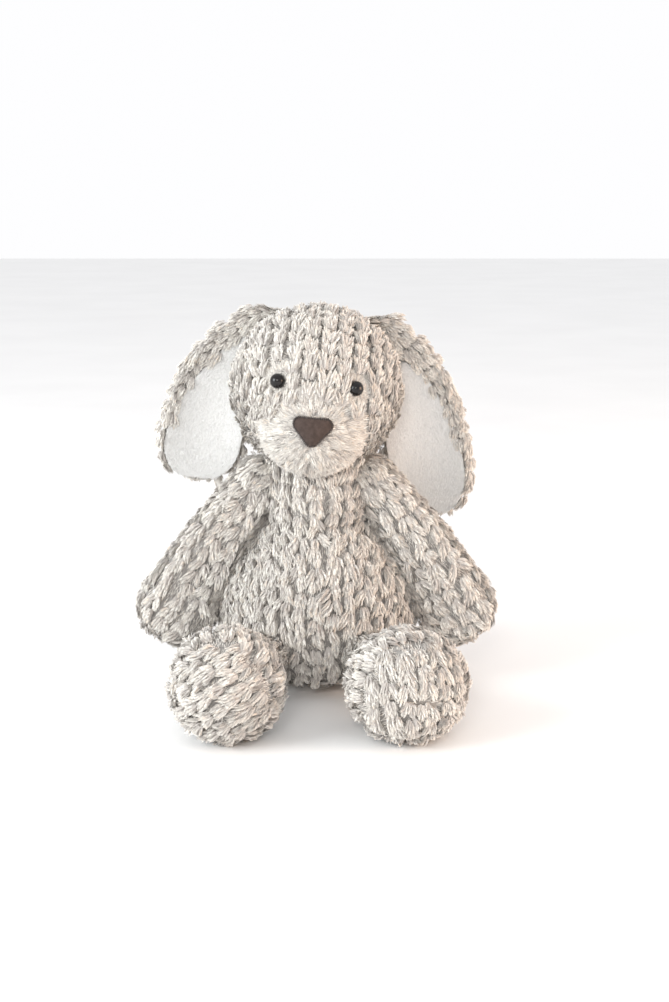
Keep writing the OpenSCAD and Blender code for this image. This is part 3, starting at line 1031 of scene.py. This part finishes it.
def panel(node, form, wanted, tufts, body, bend=None, stands_for=True, extra=(), keep=None):
    """One sewn panel: its backing and the pile whose tufts are rooted in its window."""
    cover = backing(node + "_cover", form, wanted, knit_backing_painted_shade)
    if stands_for:
        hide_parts(node)
    attach(cover, body, bend)
    fur = pile(node + "_pile", tufts.window(wanted), [under_pile(form, wanted, keep)] + list(extra))
    attach(fur, body, bend)


def stuffed(node, form, body, sink=3.0, bend=None):
    inner = filling(node + "_fill", form, fibre, sink)
    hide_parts(node)
    attach(inner, body, bend)


# ---------------------------------------------------------------- make the forms

torso = torso_form()
head = head_form()
neck = neck_form()
tail = tail_form()
arms = {side: arm_form(side) for side, _ in SIDES}
feet = {side: foot_form(side) for side, _ in SIDES}
legs = {side: leg_form(side) for side, _ in SIDES}

SEAM = 0.25           # share of the way round the torso from the middle of the front to the side seam
GUSSET = math.asin(18 / (HEAD_R - BASE)) / math.pi
SOLE_V = 0.36         # the sole's seam, a share of the way from the sole's middle to the back of the foot


def close_to(x, *places, within=0.006):
    """True where x, a share of the way round, is within a short way of one of the places."""
    gap = [np.abs((x - at + 0.5) % 1 - 0.5) for at in places]
    return np.min(gap, axis=0) < within


stuff([
    (torso, lambda u, v: close_to(u, SEAM, 0.5, 1 - SEAM) | (v < 0.12)),
    (head, lambda u, v: close_to(v, 0.5 - GUSSET, 0.5 + GUSSET)),
    *[(arms[side], lambda u, v: close_to(u, 0, 0.5)) for side, _ in SIDES],
    *[(feet[side], lambda u, v: close_to(v, SOLE_V, within=0.01)) for side, _ in SIDES],
])


# ---------------------------------------------------------------- torso


def is_front(u, v):
    return np.abs((u + 0.5) % 1 - 0.5) < SEAM


def torso_shows(pos):
    """True where the torso's cover is not inside the neck, an arm or a leg."""
    ok = ~neck.inside(pos, 1.0)
    for side, _ in SIDES:
        ok &= ~arms[side].inside(pos, 1.5)
        ok &= ~legs[side].inside(pos, 1.0)
    return ok


def torso_tufts():
    """Wales run down the torso at an even spacing, and draw together under the belly."""
    out = Tufts()
    rows = torso.points.shape[0]
    v = np.linspace(0.02, 0.97, 220)
    width = np.interp(v, np.linspace(0, 1, rows), np.abs(torso.points[..., 0]).max(1))
    height = np.interp(v, np.linspace(0, 1, rows), torso.points[..., 2].mean(1))
    round_r = np.where(height < BELLY_Z, np.maximum(width, BELLY_R - BASE - 14), width)
    for middle in (0.0, 0.5):
        for off in wale_lines(100):
            u = off / (2 * math.pi * np.maximum(round_r, 1))
            u = u * (1 + 0.05 * math.sin(off * 0.7))
            inside = np.abs(u) < SEAM
            if inside.sum() >= 6:
                stitches(out, torso, u[inside] + middle, v[inside], -1, torso_shows, mess=1.6)
    return out


tufts = torso_tufts()
panel("torso_front_panel", torso, is_front, tufts, "torso", keep=torso_shows)
panel("torso_back_panel_left", torso, lambda u, v: (u > SEAM) & (u < 0.5), tufts, "torso", keep=torso_shows)
panel("torso_back_panel_right", torso, lambda u, v: (u > 0.5) & (u < 1 - SEAM), tufts, "torso",
      keep=torso_shows)
stuffed("torso_stuffing", torso, "torso")


# ---------------------------------------------------------------- head

CHIN_U = (0.778, 0.946)
CHIN_V = (0.2, 0.8)
NOSE = np.array([0, MUZZLE[1] - 29.6, NOSE_Z])
EYE_CLEAR = 7.0       # no tufts nearer than this to the middle of an eye
EYE_LOCKS = 230
EYE_R = HEAD_R - BASE


def local_head(p):
    return (p - HEAD) @ HEAD_AXES.T


def in_chin(u, v):
    return (u > CHIN_U[0]) & (u < CHIN_U[1]) & (v > CHIN_V[0]) & (v < CHIN_V[1])


def muzzle_share(q):
    """Below 1 within the smooth pile round the nose, for points in the head's own frame."""
    up = q[:, 2] - NOSE[2]
    tall = np.where(up > 0, 17.0, 44.0)
    r = np.sqrt((q[:, 0] / 27.0) ** 2 + (up / tall) ** 2)
    return np.where(q[:, 1] < -18, r, 9.0)


def eye_distance(q):
    d = unit(q)
    return np.minimum(*[np.linalg.norm(d - mirrored(EYE, side), axis=1) for side, _ in SIDES]) * EYE_R


def head_shows(pos):
    """True where the head's cover is clear of the neck, the eyes and the nose."""
    q = local_head(pos)
    in_nose = (np.abs(q[:, 0]) < 11) & (np.abs(q[:, 2] - NOSE[2]) < 8) & (q[:, 1] < 0)
    return ~neck.inside(pos, 1.0) & (eye_distance(q) > 4.6) & ~in_nose


def head_takes_tufts(pos):
    """True outside the smooth muzzle, the rings round the eyes, the neck and the ears' roots."""
    q = local_head(pos)
    ok = (muzzle_share(q) > 1) & (eye_distance(q) > EYE_CLEAR) & ~neck.inside(pos, 1.0)
    for _, name in SIDES:
        ok &= np.linalg.norm(pos - joint_at[name + "_ear_lift"], axis=1) > 6
    return ok


HEAD_SPAN = 76        # wales run this far to each side of the middle
POLE_SHARE = 0.485    # and stop at this share of the way to the head's side
POLE_SPOKES = 5       # short lines that close the pile at each side


def head_tufts():
    """Wales run from the chin over the forehead to the nape, and the pile is brushed that way."""
    out = Tufts()
    u = np.linspace(-0.22, 0.74, 300)
    for off in wale_lines(HEAD_SPAN, middle=False):
        polar = off / (EYE_R * math.pi)
        if abs(polar) > POLE_SHARE:
            continue
        lean = 0.020 * np.sign(off) * smooth(abs(off), 12, 40) * np.cos(2 * math.pi * (u - 0.05))
        stitches(out, head, u, 0.5 - polar - lean, 1, head_takes_tufts, phase=0.5,
                 mess=0.6 + 0.5 * smooth(abs(off), 15, 45))
    v = np.linspace(0.003, 0.047, 20)
    for end in (0, 1):
        for k in range(POLE_SPOKES):
            stitches(out, head, k / POLE_SPOKES + 0 * v, np.abs(end - v), 1, head_takes_tufts, phase=0.2)
    return out


def muzzle_pile(count, lock, strands, tall, light):
    """Longer pile round the nose, lying away from it and parted below it."""
    u, v = rng.random(count), rng.uniform(0.15, 0.85, count)
    pos, normal = head.at(u, v)
    q = local_head(pos)
    chosen = (rng.random(count) < np.sin(v * math.pi) * 0.9) & (muzzle_share(q) < 1.1)
    from_nose = q - NOSE
    chosen &= np.hypot(from_nose[:, 0] / 10.5, from_nose[:, 2] / 8.2) > 0.85
    pos, normal, from_nose = pos[chosen], normal[chosen], from_nose[chosen]
    parting = np.where(from_nose[:, 2] < -4, 5.0, 0.0) * np.exp(-(from_nose[:, 0] / 7) ** 2)
    from_nose[:, 0] += np.sign(from_nose[:, 0]) * parting
    way = from_nose @ HEAD_AXES
    way = unit(way + rng.normal(0, 0.12, way.shape) * np.linalg.norm(way, axis=1, keepdims=True))
    length = (5.2 + 4.4 * smooth(np.linalg.norm(from_nose, axis=1), 8, 22)) * tall
    return long_pile(pos, flattened(way, normal), normal, 40, length, strands, lock, rise=27, light=light)


def eye_pile(side):
    """Short pile round an eye, lying away from it."""
    centre = mirrored(EYE, side)
    a = rng.uniform(0, 2 * math.pi, EYE_LOCKS)
    r = rng.uniform(3.7, EYE_CLEAR + 1.5, EYE_LOCKS)
    e1 = unit(np.cross(centre, [0, 0, 1.0]))
    e2 = np.cross(centre, e1)
    normal = unit(centre * EYE_R + (np.cos(a) * r)[:, None] * e1 + (np.sin(a) * r)[:, None] * e2)
    p = normal * (head_radius(normal) - 0.3)[:, None]
    way = flattened(unit(p - centre * EYE_R), normal)
    length = 3.6 + 2.0 * smooth(r, 4, 9)
    return long_pile(in_head(p), way @ HEAD_AXES, normal @ HEAD_AXES, 50, length, 14, 0.5,
                     rise=24, width=0.4, light=0.45)


def smooth_pile():
    """The longer pile of the face: locks and loose strands on the muzzle, then the eyes."""
    locks = muzzle_pile(count=9000, lock=1.0, strands=24, tall=1.0, light=0.14)
    loose = muzzle_pile(count=16000, lock=1.4, strands=3, tall=0.6, light=0.1)
    return [locks, loose] + [eye_pile(side) for side, _ in SIDES]


tufts = head_tufts()
for node, wanted, extra in (
    ("head_left_panel", lambda u, v: (v < 0.5 - GUSSET) & ~in_chin(u, v), ()),
    ("head_right_panel", lambda u, v: (v > 0.5 + GUSSET) & ~in_chin(u, v), ()),
    ("head_centre_gusset", lambda u, v: (np.abs(v - 0.5) < GUSSET) & ~in_chin(u, v), ()),
    ("chin_panel", in_chin, smooth_pile()),
):
    panel(node, head, wanted, tufts, "head", extra=extra, keep=head_shows)
stuffed("head_stuffing", head, "head")


# ---------------------------------------------------------------- neck and tail

NECK_WALES = 20
TAIL_WALES = 6
NECK_MIDDLE = 0.547   # share of the way up the neck's outline at its joint

tufts = wales_round(Tufts(), neck, NECK_WALES, np.linspace(0.27, 0.69, 60), -1, mess=1.5)
up = np.array([0, 0, 1.0])
panel("neck_lower", neck, lambda u, v: (v > 0.26) & (v < NECK_MIDDLE), tufts, None,
      bend=("torso", "neck", NECK - 24 * up, NECK), stands_for=False)
panel("neck_upper", neck, lambda u, v: (v > NECK_MIDDLE) & (v < 0.70), tufts, None,
      bend=("neck", "head", NECK, NECK + 14 * up), stands_for=False)
stuffed("neck_wad", neck, "neck", sink=4.0)

tufts = wales_round(Tufts(), tail, TAIL_WALES, np.linspace(0.12, 0.96, 60), 1, width=0.9)
way = unit(tail.points[-1, 0] - TAIL)
tail_bend = ("torso", "tail", TAIL - 4 * way, TAIL + 4 * way)
panel("tail_cover", tail, lambda u, v: v > 0.06, tufts, None, bend=tail_bend)
stuffed("tail_stuffing", tail, "tail", sink=2.0)


# ---------------------------------------------------------------- arms

ARM_WALES = 11


def arm_shows(pos):
    return ~torso.inside(pos, 1.0)


def arm_path(k, v):
    return 0.012 * np.sin(9 * v + k)


for side, name in SIDES:
    tufts = wales_round(Tufts(), arms[side], ARM_WALES, np.linspace(0.02, 0.97, 160), 1, path=arm_path,
                        first=0.5, keep=arm_shows, mess=1.5)
    root = joint_at[name + "_shoulder"]
    way = unit(mirrored(PAW, side) - root)
    bend = ("torso", name + "_arm", root - 2 * way, root + 22 * way)
    for half, wanted in (("front", lambda u, v: u < 0.5), ("back", lambda u, v: u > 0.5)):
        panel(f"{name}_arm_{half}_panel", arms[side], wanted, tufts, None, bend=bend, keep=arm_shows)
    stuffed(name + "_arm_stuffing", arms[side], None, bend=bend)


# ---------------------------------------------------------------- legs and feet

SOLE_TURN = {1: 8.0, -1: -52.0}   # how far each sole's wales turn from upright, in degrees
FOOT_WALES = 18
LEG_WALES = 9


def foot_tufts(side):
    """Straight wales across the sole, and wales from its seam round to the heel."""
    out = Tufts()
    half_way = math.pi * (FOOT_R - BASE)
    reach = SOLE_V * half_way
    turn = math.radians(SOLE_TURN[side]) * side
    for off in wale_lines(reach - 2, middle=False):
        half = math.sqrt(reach ** 2 - off ** 2)
        along = np.linspace(-half, half, 80)
        x = off * math.cos(turn) - along * math.sin(turn)
        y = off * math.sin(turn) + along * math.cos(turn)
        stitches(out, feet[side], np.arctan2(y, x) / (2 * math.pi) % 1, np.hypot(x, y) / half_way, -1)

    def keep(pos):
        return ~legs[side].inside(pos, -1.0) & ~torso.inside(pos, -1.0)

    def slant(_, v):
        return 0.2 * (v - SOLE_V) * side

    v = np.linspace(SOLE_V + 0.01, 0.93, 90)
    return wales_round(out, feet[side], FOOT_WALES, v, 1, path=slant, keep=keep, mess=1.3)


def leg_tufts(side):
    def keep(pos):
        return ~torso.inside(pos, 0.0) & ~feet[side].inside(pos, 0.0)

    return wales_round(Tufts(), legs[side], LEG_WALES, np.linspace(0.1, 0.8, 80), 1, keep=keep)


for side, name in SIDES:
    tufts = foot_tufts(side)
    panel(name + "_foot_panel", feet[side], lambda u, v: v > SOLE_V, tufts, name + "_leg")
    panel(name + "_foot_sole", feet[side], lambda u, v: v < SOLE_V, tufts, name + "_leg")
    root = joint_at[name + "_hip"]
    way = unit(mirrored(FOOT, side) - root)
    bend = ("torso", name + "_leg", root - 4 * way, root + 22 * way)
    panel(name + "_leg_cover", legs[side], lambda u, v: (v > 0.05) & (v < 0.82), leg_tufts(side), None,
          bend=bend)
    stuffed(name + "_leg_stuffing", feet[side], name + "_leg")


# ---------------------------------------------------------------- ears


EDGE_STOP = 0.84      # the lines along the ear's edges stop here, above the lobe
RIM_INSETS = (3.2, 8.0, 16.0, 25.0)   # of the rim's wales from the outer edge, mm


def ear_shows(pos):
    return np.linalg.norm(pos - HEAD, axis=1) > HEAD_R - 5


def ear_tufts(side, form):
    """Wales run down the back of the ear and along its rim, round to the front."""
    out = Tufts()
    v = np.linspace(0.01, 0.985, 260)
    t = np.sin(v * math.pi / 2)
    w = ear_half(t)
    for off in wale_lines(EAR_HALF):
        fits = np.abs(off) < w - 2.5
        if fits.sum() > 8:
            u = np.arccos(np.clip(off / np.maximum(w, 1), -1, 1)) / (2 * math.pi)
            stitches(out, form, u[fits], v[fits], 1, ear_shows)
    edge = v[v < EDGE_STOP]
    for u, width in ((0.985, 0.9), (0.47, 0.8)):
        stitches(out, form, u + 0 * edge, edge, 1, ear_shows, width=width)
    for inset in RIM_INSETS:
        band = (t < LINING_START[side] + 0.04) | (ear_outer_rim(t) > inset + 0.6)
        band &= inset < 1.7 * w
        if band.sum() > 8:
            u = 1 - np.arccos(np.clip(1 - inset / np.maximum(w, 6), -1, 1)) / (2 * math.pi)
            stitches(out, form, u[band], v[band], 1, ear_shows, width=0.9)
    return out


def lining_pile(side, form):
    """Single short strands all over the lining, lying towards the lobe."""
    v = np.arcsin(rng.random(LINING_STRANDS)) / (math.pi / 2)
    q = rng.uniform(-1, 1, LINING_STRANDS)
    t = LINING_START[side] + np.sin(v * math.pi / 2) * (1 - LINING_END - LINING_START[side])
    ok = rng.random(LINING_STRANDS) < np.maximum(ear_half(t) - 3, 0) / EAR_HALF
    v, q = v[ok], q[ok]
    u = 1 - np.arccos(q) / (2 * math.pi)
    pos, normal = form.at(u, v)
    ahead, _ = form.at(u, np.minimum(v + 0.01, 1))
    behind, _ = form.at(u, np.maximum(v - 0.01, 0))
    way = flattened(unit(ahead - behind + rng.normal(0, 0.15, pos.shape)), normal)
    side_way = np.cross(normal, way)
    n = len(pos)
    rise = np.radians(rng.normal(26, 7, n))
    reach = rng.uniform(2.2, 3.4, n)[:, None] * np.array([0, 0.4, 0.75, 1.0])
    l = reach * np.cos(rise)[:, None]
    h = -0.1 + reach * np.sin(rise)[:, None] * np.array([1, 0.95, 0.8, 0.66])
    p = lifted(l, l * 0, h, *[x[:, None] for x in (pos, way, side_way, normal)], np.full((n, 1), 60.0))
    roll = np.radians(rng.normal(0, 9, n))[:, None]
    across = side_way * np.cos(roll) + normal * np.sin(roll)
    tones = np.where(rng.random((n, 3)) < 0.75, 1, 0)
    return ribbons(p, across, 0.36 * rng.uniform(0.8, 1.2, n), tones)


for side, name in SIDES:
    back = ear_back_form(side)
    inner = ear_lining_form(side)
    root = joint_at[name + "_ear_lift"]
    way = unit(back.points[30].mean(0) - root)
    bend = ("head", name + "_ear", root - 1 * way, root + 20 * way)
    panel(name + "_ear_back", back, lambda u, v: v > 0.0, ear_tufts(side, back), None, bend=bend)
    lining = backing(name + "_ear_lining_cover", inner, lambda u, v: v >= 0, lining_backing, thick=0.5)
    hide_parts(name + "_ear_lining")
    attach(lining, None, bend)
    fur = pile(name + "_ear_lining_pile", None, [lining_pile(side, inner)], lining_tones)
    attach(fur, None, bend)


# ---------------------------------------------------------------- face

suede = mottle(material("nose_suede", (0.06, 0.042, 0.036), 0.85, 0.2, (0.9, 0.8, 0.75), 0.2),
               (0.048, 0.034, 0.029), (0.074, 0.052, 0.045), 420, bump=0.5, bump_scale=2600)
thread = mottle(material("nose_thread", (0.05, 0.04, 0.036), 0.7, 0.1), (0.035, 0.027, 0.024),
                (0.07, 0.055, 0.05), 900, bump=0.5, bump_scale=3000)
NOSE_HALF_W = 11.2
NOSE_HALF_H = 8.2
NOSE_CORNER = 4.0


def nose_outline(n):
    """A rounded triangle, wide at the top, evenly spaced round its edge."""
    w, h, r = NOSE_HALF_W - NOSE_CORNER, NOSE_HALF_H, NOSE_CORNER
    corners = (((0, r - h), -150, -30), ((w, h - r), -30, 90), ((-w, h - r), 90, 210))
    outline = [p for centre, a0, a1 in corners for p in arc(centre, r, a0, a1, 12)]
    return even(outline + outline[:1], n + 1)[:-1]


def on_muzzle(flat, height):
    """Points over the muzzle, from across and up on the nose and a height above the sphere."""
    x, z = flat[..., 0], flat[..., 1] + NOSE_Z - MUZZLE[2]
    r = MUZZLE_R - 1.2
    y = -np.sqrt(np.maximum(r * r - x * x - z * z, 1))
    p = np.stack([x, y, z], -1)
    return in_head(MUZZLE + unit(p) * (r + height)[..., None])


def nose():
    """A low dome over the muzzle, with a skirt that goes down into the pile."""
    rings, n = 12, 96
    edge = nose_outline(n)
    share = np.sin(np.linspace(0, math.pi / 2, rings))[:, None, None]
    s = share[..., 0] + np.zeros((rings, n))
    dimple = 0.10 * np.sin(edge[None, :, 0] * 1.9) * np.cos(edge[None, :, 1] * 1.3) * s
    height = 2.1 * np.sqrt(np.maximum(1 - s ** 2.6, 0)) + 0.35 + dimple
    top = on_muzzle(edge[None] * share, height)
    skirt = on_muzzle(edge * 1.005, np.full(n, -1.6))
    verts = np.concatenate([top[:1].mean(1), top[1:].reshape(-1, 3), skirt, skirt.mean(0)[None]])
    last = len(verts) - 1
    faces = [[1 + (j + 1) % n, 1 + j, 0] for j in range(n)]
    for a in range(1, 1 + (rings - 1) * n, n):
        faces += [[a + (j + 1) % n, a + n + (j + 1) % n, a + n + j, a + j] for j in range(n)]
    a = 1 + (rings - 1) * n
    faces += [[a + j, a + (j + 1) % n, last] for j in range(n)]
    obj = faced("nose_suede_patch", verts, faces, suede)
    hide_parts("nose_patch")
    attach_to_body(obj, "head")


STITCHES = 58
STITCH_R = 0.46 * np.array([0.25, 0.8, 1, 1, 1, 0.8, 0.25])


def stitch_rings(start, end):
    """Rings of points round a thread that arches over the nose's edge."""
    t = np.linspace(0, 1, len(STITCH_R))[:, None]
    height = 0.75 + 0.7 * np.sin(math.pi * (0.35 + 0.5 * (1 - t[:, 0]))) - 1.4 * t[:, 0] ** 3
    centre = on_muzzle(start * (1 - t) + end * t, height)
    axis = unit(np.gradient(centre, axis=0))
    flat = unit(np.cross(axis, unit(centre - in_head(MUZZLE))))
    rise = np.cross(flat, axis)
    spoke = np.radians(np.arange(0, 360, 360 // SPOKES))
    c, s = np.cos(spoke)[None, :, None], np.sin(spoke)[None, :, None]
    return centre[:, None] + STITCH_R[:, None, None] * (c * flat[:, None] + s * rise[:, None])


def nose_stitches():
    """Whip stitches over the nose's edge, close together, a little uneven."""
    edge = nose_outline(STITCHES)
    way = unit(np.roll(edge, -1, 0) - edge)
    out = np.stack([way[:, 1], -way[:, 0]], 1)
    verts, faces = [], []
    for k in range(STITCHES):
        spin = rng.normal(0, 0.10)
        d = out[k] * math.cos(spin) + way[k] * (math.sin(spin) + 0.35)
        d /= np.linalg.norm(d)
        start, end = edge[k] - d * rng.uniform(0.9, 1.25), edge[k] + d * rng.uniform(0.5, 0.8)
        rings = stitch_rings(start, end).reshape(-1, 3)
        base, last = k * len(rings), (k + 1) * len(rings) - SPOKES
        for i in range(base, last, SPOKES):
            for j in range(SPOKES):
                x, y = i + j, i + (j + 1) % SPOKES
                faces.append([x, y, y + SPOKES, x + SPOKES])
        faces += [[base + j for j in reversed(range(SPOKES))], [last + j for j in range(SPOKES)]]
        verts.append(rings)
    obj = faced("nose_stitching", np.concatenate(verts), faces, thread)
    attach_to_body(obj, "head")


nose()
nose_stitches()


def dress_cad():
    """Finishes for the CAD nodes that keep their own shape."""
    eye = mottle(material("eye_plastic", (0.008, 0.007, 0.007), 0.05, specular=0.4),
                 (0.006, 0.005, 0.005), (0.010, 0.008, 0.008), 300, bump=0.03, bump_scale=500)
    washer = mottle(material("washer_plastic", (0.8, 0.8, 0.78), 0.5), (0.76, 0.76, 0.73),
                    (0.84, 0.84, 0.82), 200, bump=0.1, bump_scale=900)
    cloth = mottle(material("pellet_cloth", (0.8, 0.79, 0.75), 0.9, 0.2), (0.74, 0.72, 0.67),
                   (0.85, 0.84, 0.80), 700, bump=0.7, bump_scale=1800)
    bags = ("seat_pellet_pouch", "left_foot_pellet_bag", "right_foot_pellet_bag")
    for names, finish in ((("left_eye", "right_eye"), eye),
                          (("left_eye_washer", "right_eye_washer"), washer), (bags, cloth)):
        for n in names:
            mesh = frame["nodes"][n].data
            mesh.materials.clear()
            mesh.materials.append(finish)
            mesh.polygons.foreach_set("use_smooth", np.ones(len(mesh.polygons), bool))


dress_cad()


LABEL_T = 0.36        # thickness


def label_faces(n, m):
    """Faces of a closed sheet: n by m points on one side, then the same on the other."""
    index = np.arange(n * m).reshape(n, m)
    quads = [[index[i, j], index[i + 1, j], index[i + 1, j + 1], index[i, j + 1]]
             for i in range(n - 1) for j in range(m - 1)]
    rim = [*index[:, 0], *index[-1, 1:], *index[-2::-1, -1], *index[0, -2:0:-1]]
    return ([q[::-1] for q in quads] + [[v + n * m for v in q] for q in quads]
            + [[p, q, q + n * m, p + n * m] for p, q in zip(rim, rim[1:] + rim[:1])])


def care_label():
    """A blank folded satin tape that hangs from the closing seam."""
    satin = mottle(material("label_satin", (0.88, 0.88, 0.87), 0.35, 0.2), (0.84, 0.84, 0.83),
                   (0.92, 0.92, 0.91), 60, bump=0.3, bump_scale=2500, stretch=(1, 1, 14))
    lo, hi = box_mm("care_label")
    n, m = 22, 14
    wide, tall = hi[2] - lo[2], hi[1] - lo[1]
    s, t = np.meshgrid(np.linspace(0, 1, n), np.linspace(0, 1, m), indexing="ij")
    y = lo[1] + tall * t
    z = lo[2] + wide * s - 1.8 * t ** 2
    x = 1.1 * np.sin(2.2 * t + 0.7) * t + 0.5 * np.sin(5 * s) * t
    points = np.stack([x, y, z], -1).reshape(-1, 3)
    half = np.array([LABEL_T / 2, 0, 0])
    obj = faced("care_label_tape", np.concatenate([points + half, points - half]), label_faces(n, m),
                satin, soft=False)
    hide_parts("care_label")
    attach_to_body(obj, "torso")


care_label()


# ---------------------------------------------------------------- floor, light, camera


def floor():
    bpy.ops.mesh.primitive_plane_add(size=9, location=(0, 0, 0))
    plane = bpy.context.object
    plane.name = "floor"
    m = mottle(material("floor_paper", (0.95, 0.95, 0.95), 0.9, specular=0.1), (0.93, 0.93, 0.93),
               (0.96, 0.96, 0.96), 6, bump=0.02, bump_scale=200)
    plane.data.materials.append(m)


LAMP_AIM = (0, 0.02, 0.12)
# Name, place, side in metres, watts and colour
LAMPS = (
    ("key", (-1.5, -0.85, 0.75), 1.0, 27, (0.93, 0.98, 1.0)),
    ("fill", (1.5, -0.38, 0.35), 0.8, 17, (1.0, 0.70, 0.50)),
    ("front", (-0.15, -1.5, 0.8), 0.35, 6, (1.0, 0.97, 0.93)),
)


def area_light(name, place, size, power, color):
    data = bpy.data.lights.new(name, "AREA")
    data.shape = "SQUARE"
    data.size = size
    data.energy = power
    data.color = color
    obj = bpy.data.objects.new(name, data)
    bpy.context.scene.collection.objects.link(obj)
    obj.location = place
    obj.rotation_mode = "QUATERNION"
    obj.rotation_quaternion = (Vector(LAMP_AIM) - Vector(place)).to_track_quat("-Z", "Y")


def light():
    """A white wall behind the toy, less light from the room in front, and three soft lamps."""
    world = bpy.data.worlds.new("studio")
    bpy.context.scene.world = world
    world.use_nodes = True
    nodes, links = world.node_tree.nodes, world.node_tree.links
    background = nodes["Background"]
    background.inputs["Color"].default_value = (0.99, 0.99, 1.0, 1)
    place = nodes.new("ShaderNodeTexCoord")
    split = nodes.new("ShaderNodeSeparateXYZ")
    share = nodes.new("ShaderNodeMapRange")
    for name, value in (("From Min", -0.3), ("From Max", 0.5), ("To Min", 0.82), ("To Max", 1.0)):
        share.inputs[name].default_value = value
    links.new(place.outputs["Generated"], split.inputs["Vector"])
    links.new(split.outputs["Y"], share.inputs["Value"])
    links.new(share.outputs["Result"], background.inputs["Strength"])
    for lamp in LAMPS:
        area_light(*lamp)


CAMERA_AIM = np.array([0.0112, 0.03625, 0.1155])
CAMERA_RISE = math.radians(12)
CAMERA_LENS = 57.6    # on a sensor 36 mm high, one metre from its aim


def camera():
    data = bpy.data.cameras.new("camera")
    data.sensor_fit = "VERTICAL"
    data.sensor_height = 36
    data.lens = CAMERA_LENS
    obj = bpy.data.objects.new("camera", data)
    bpy.context.scene.collection.objects.link(obj)
    obj.location = CAMERA_AIM + np.array([0, -math.cos(CAMERA_RISE), math.sin(CAMERA_RISE)])
    obj.rotation_euler = (math.pi / 2 - CAMERA_RISE, 0, 0)
    bpy.context.scene.camera = obj


floor()
light()
camera()
bpy.context.scene.view_settings.view_transform = "Standard"

bpy.context.view_layer.update()
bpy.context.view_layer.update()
cad_bounds = [[round(x, 5) for x in c] for c in cad_bounds]
print("CAD box", cad_bounds)
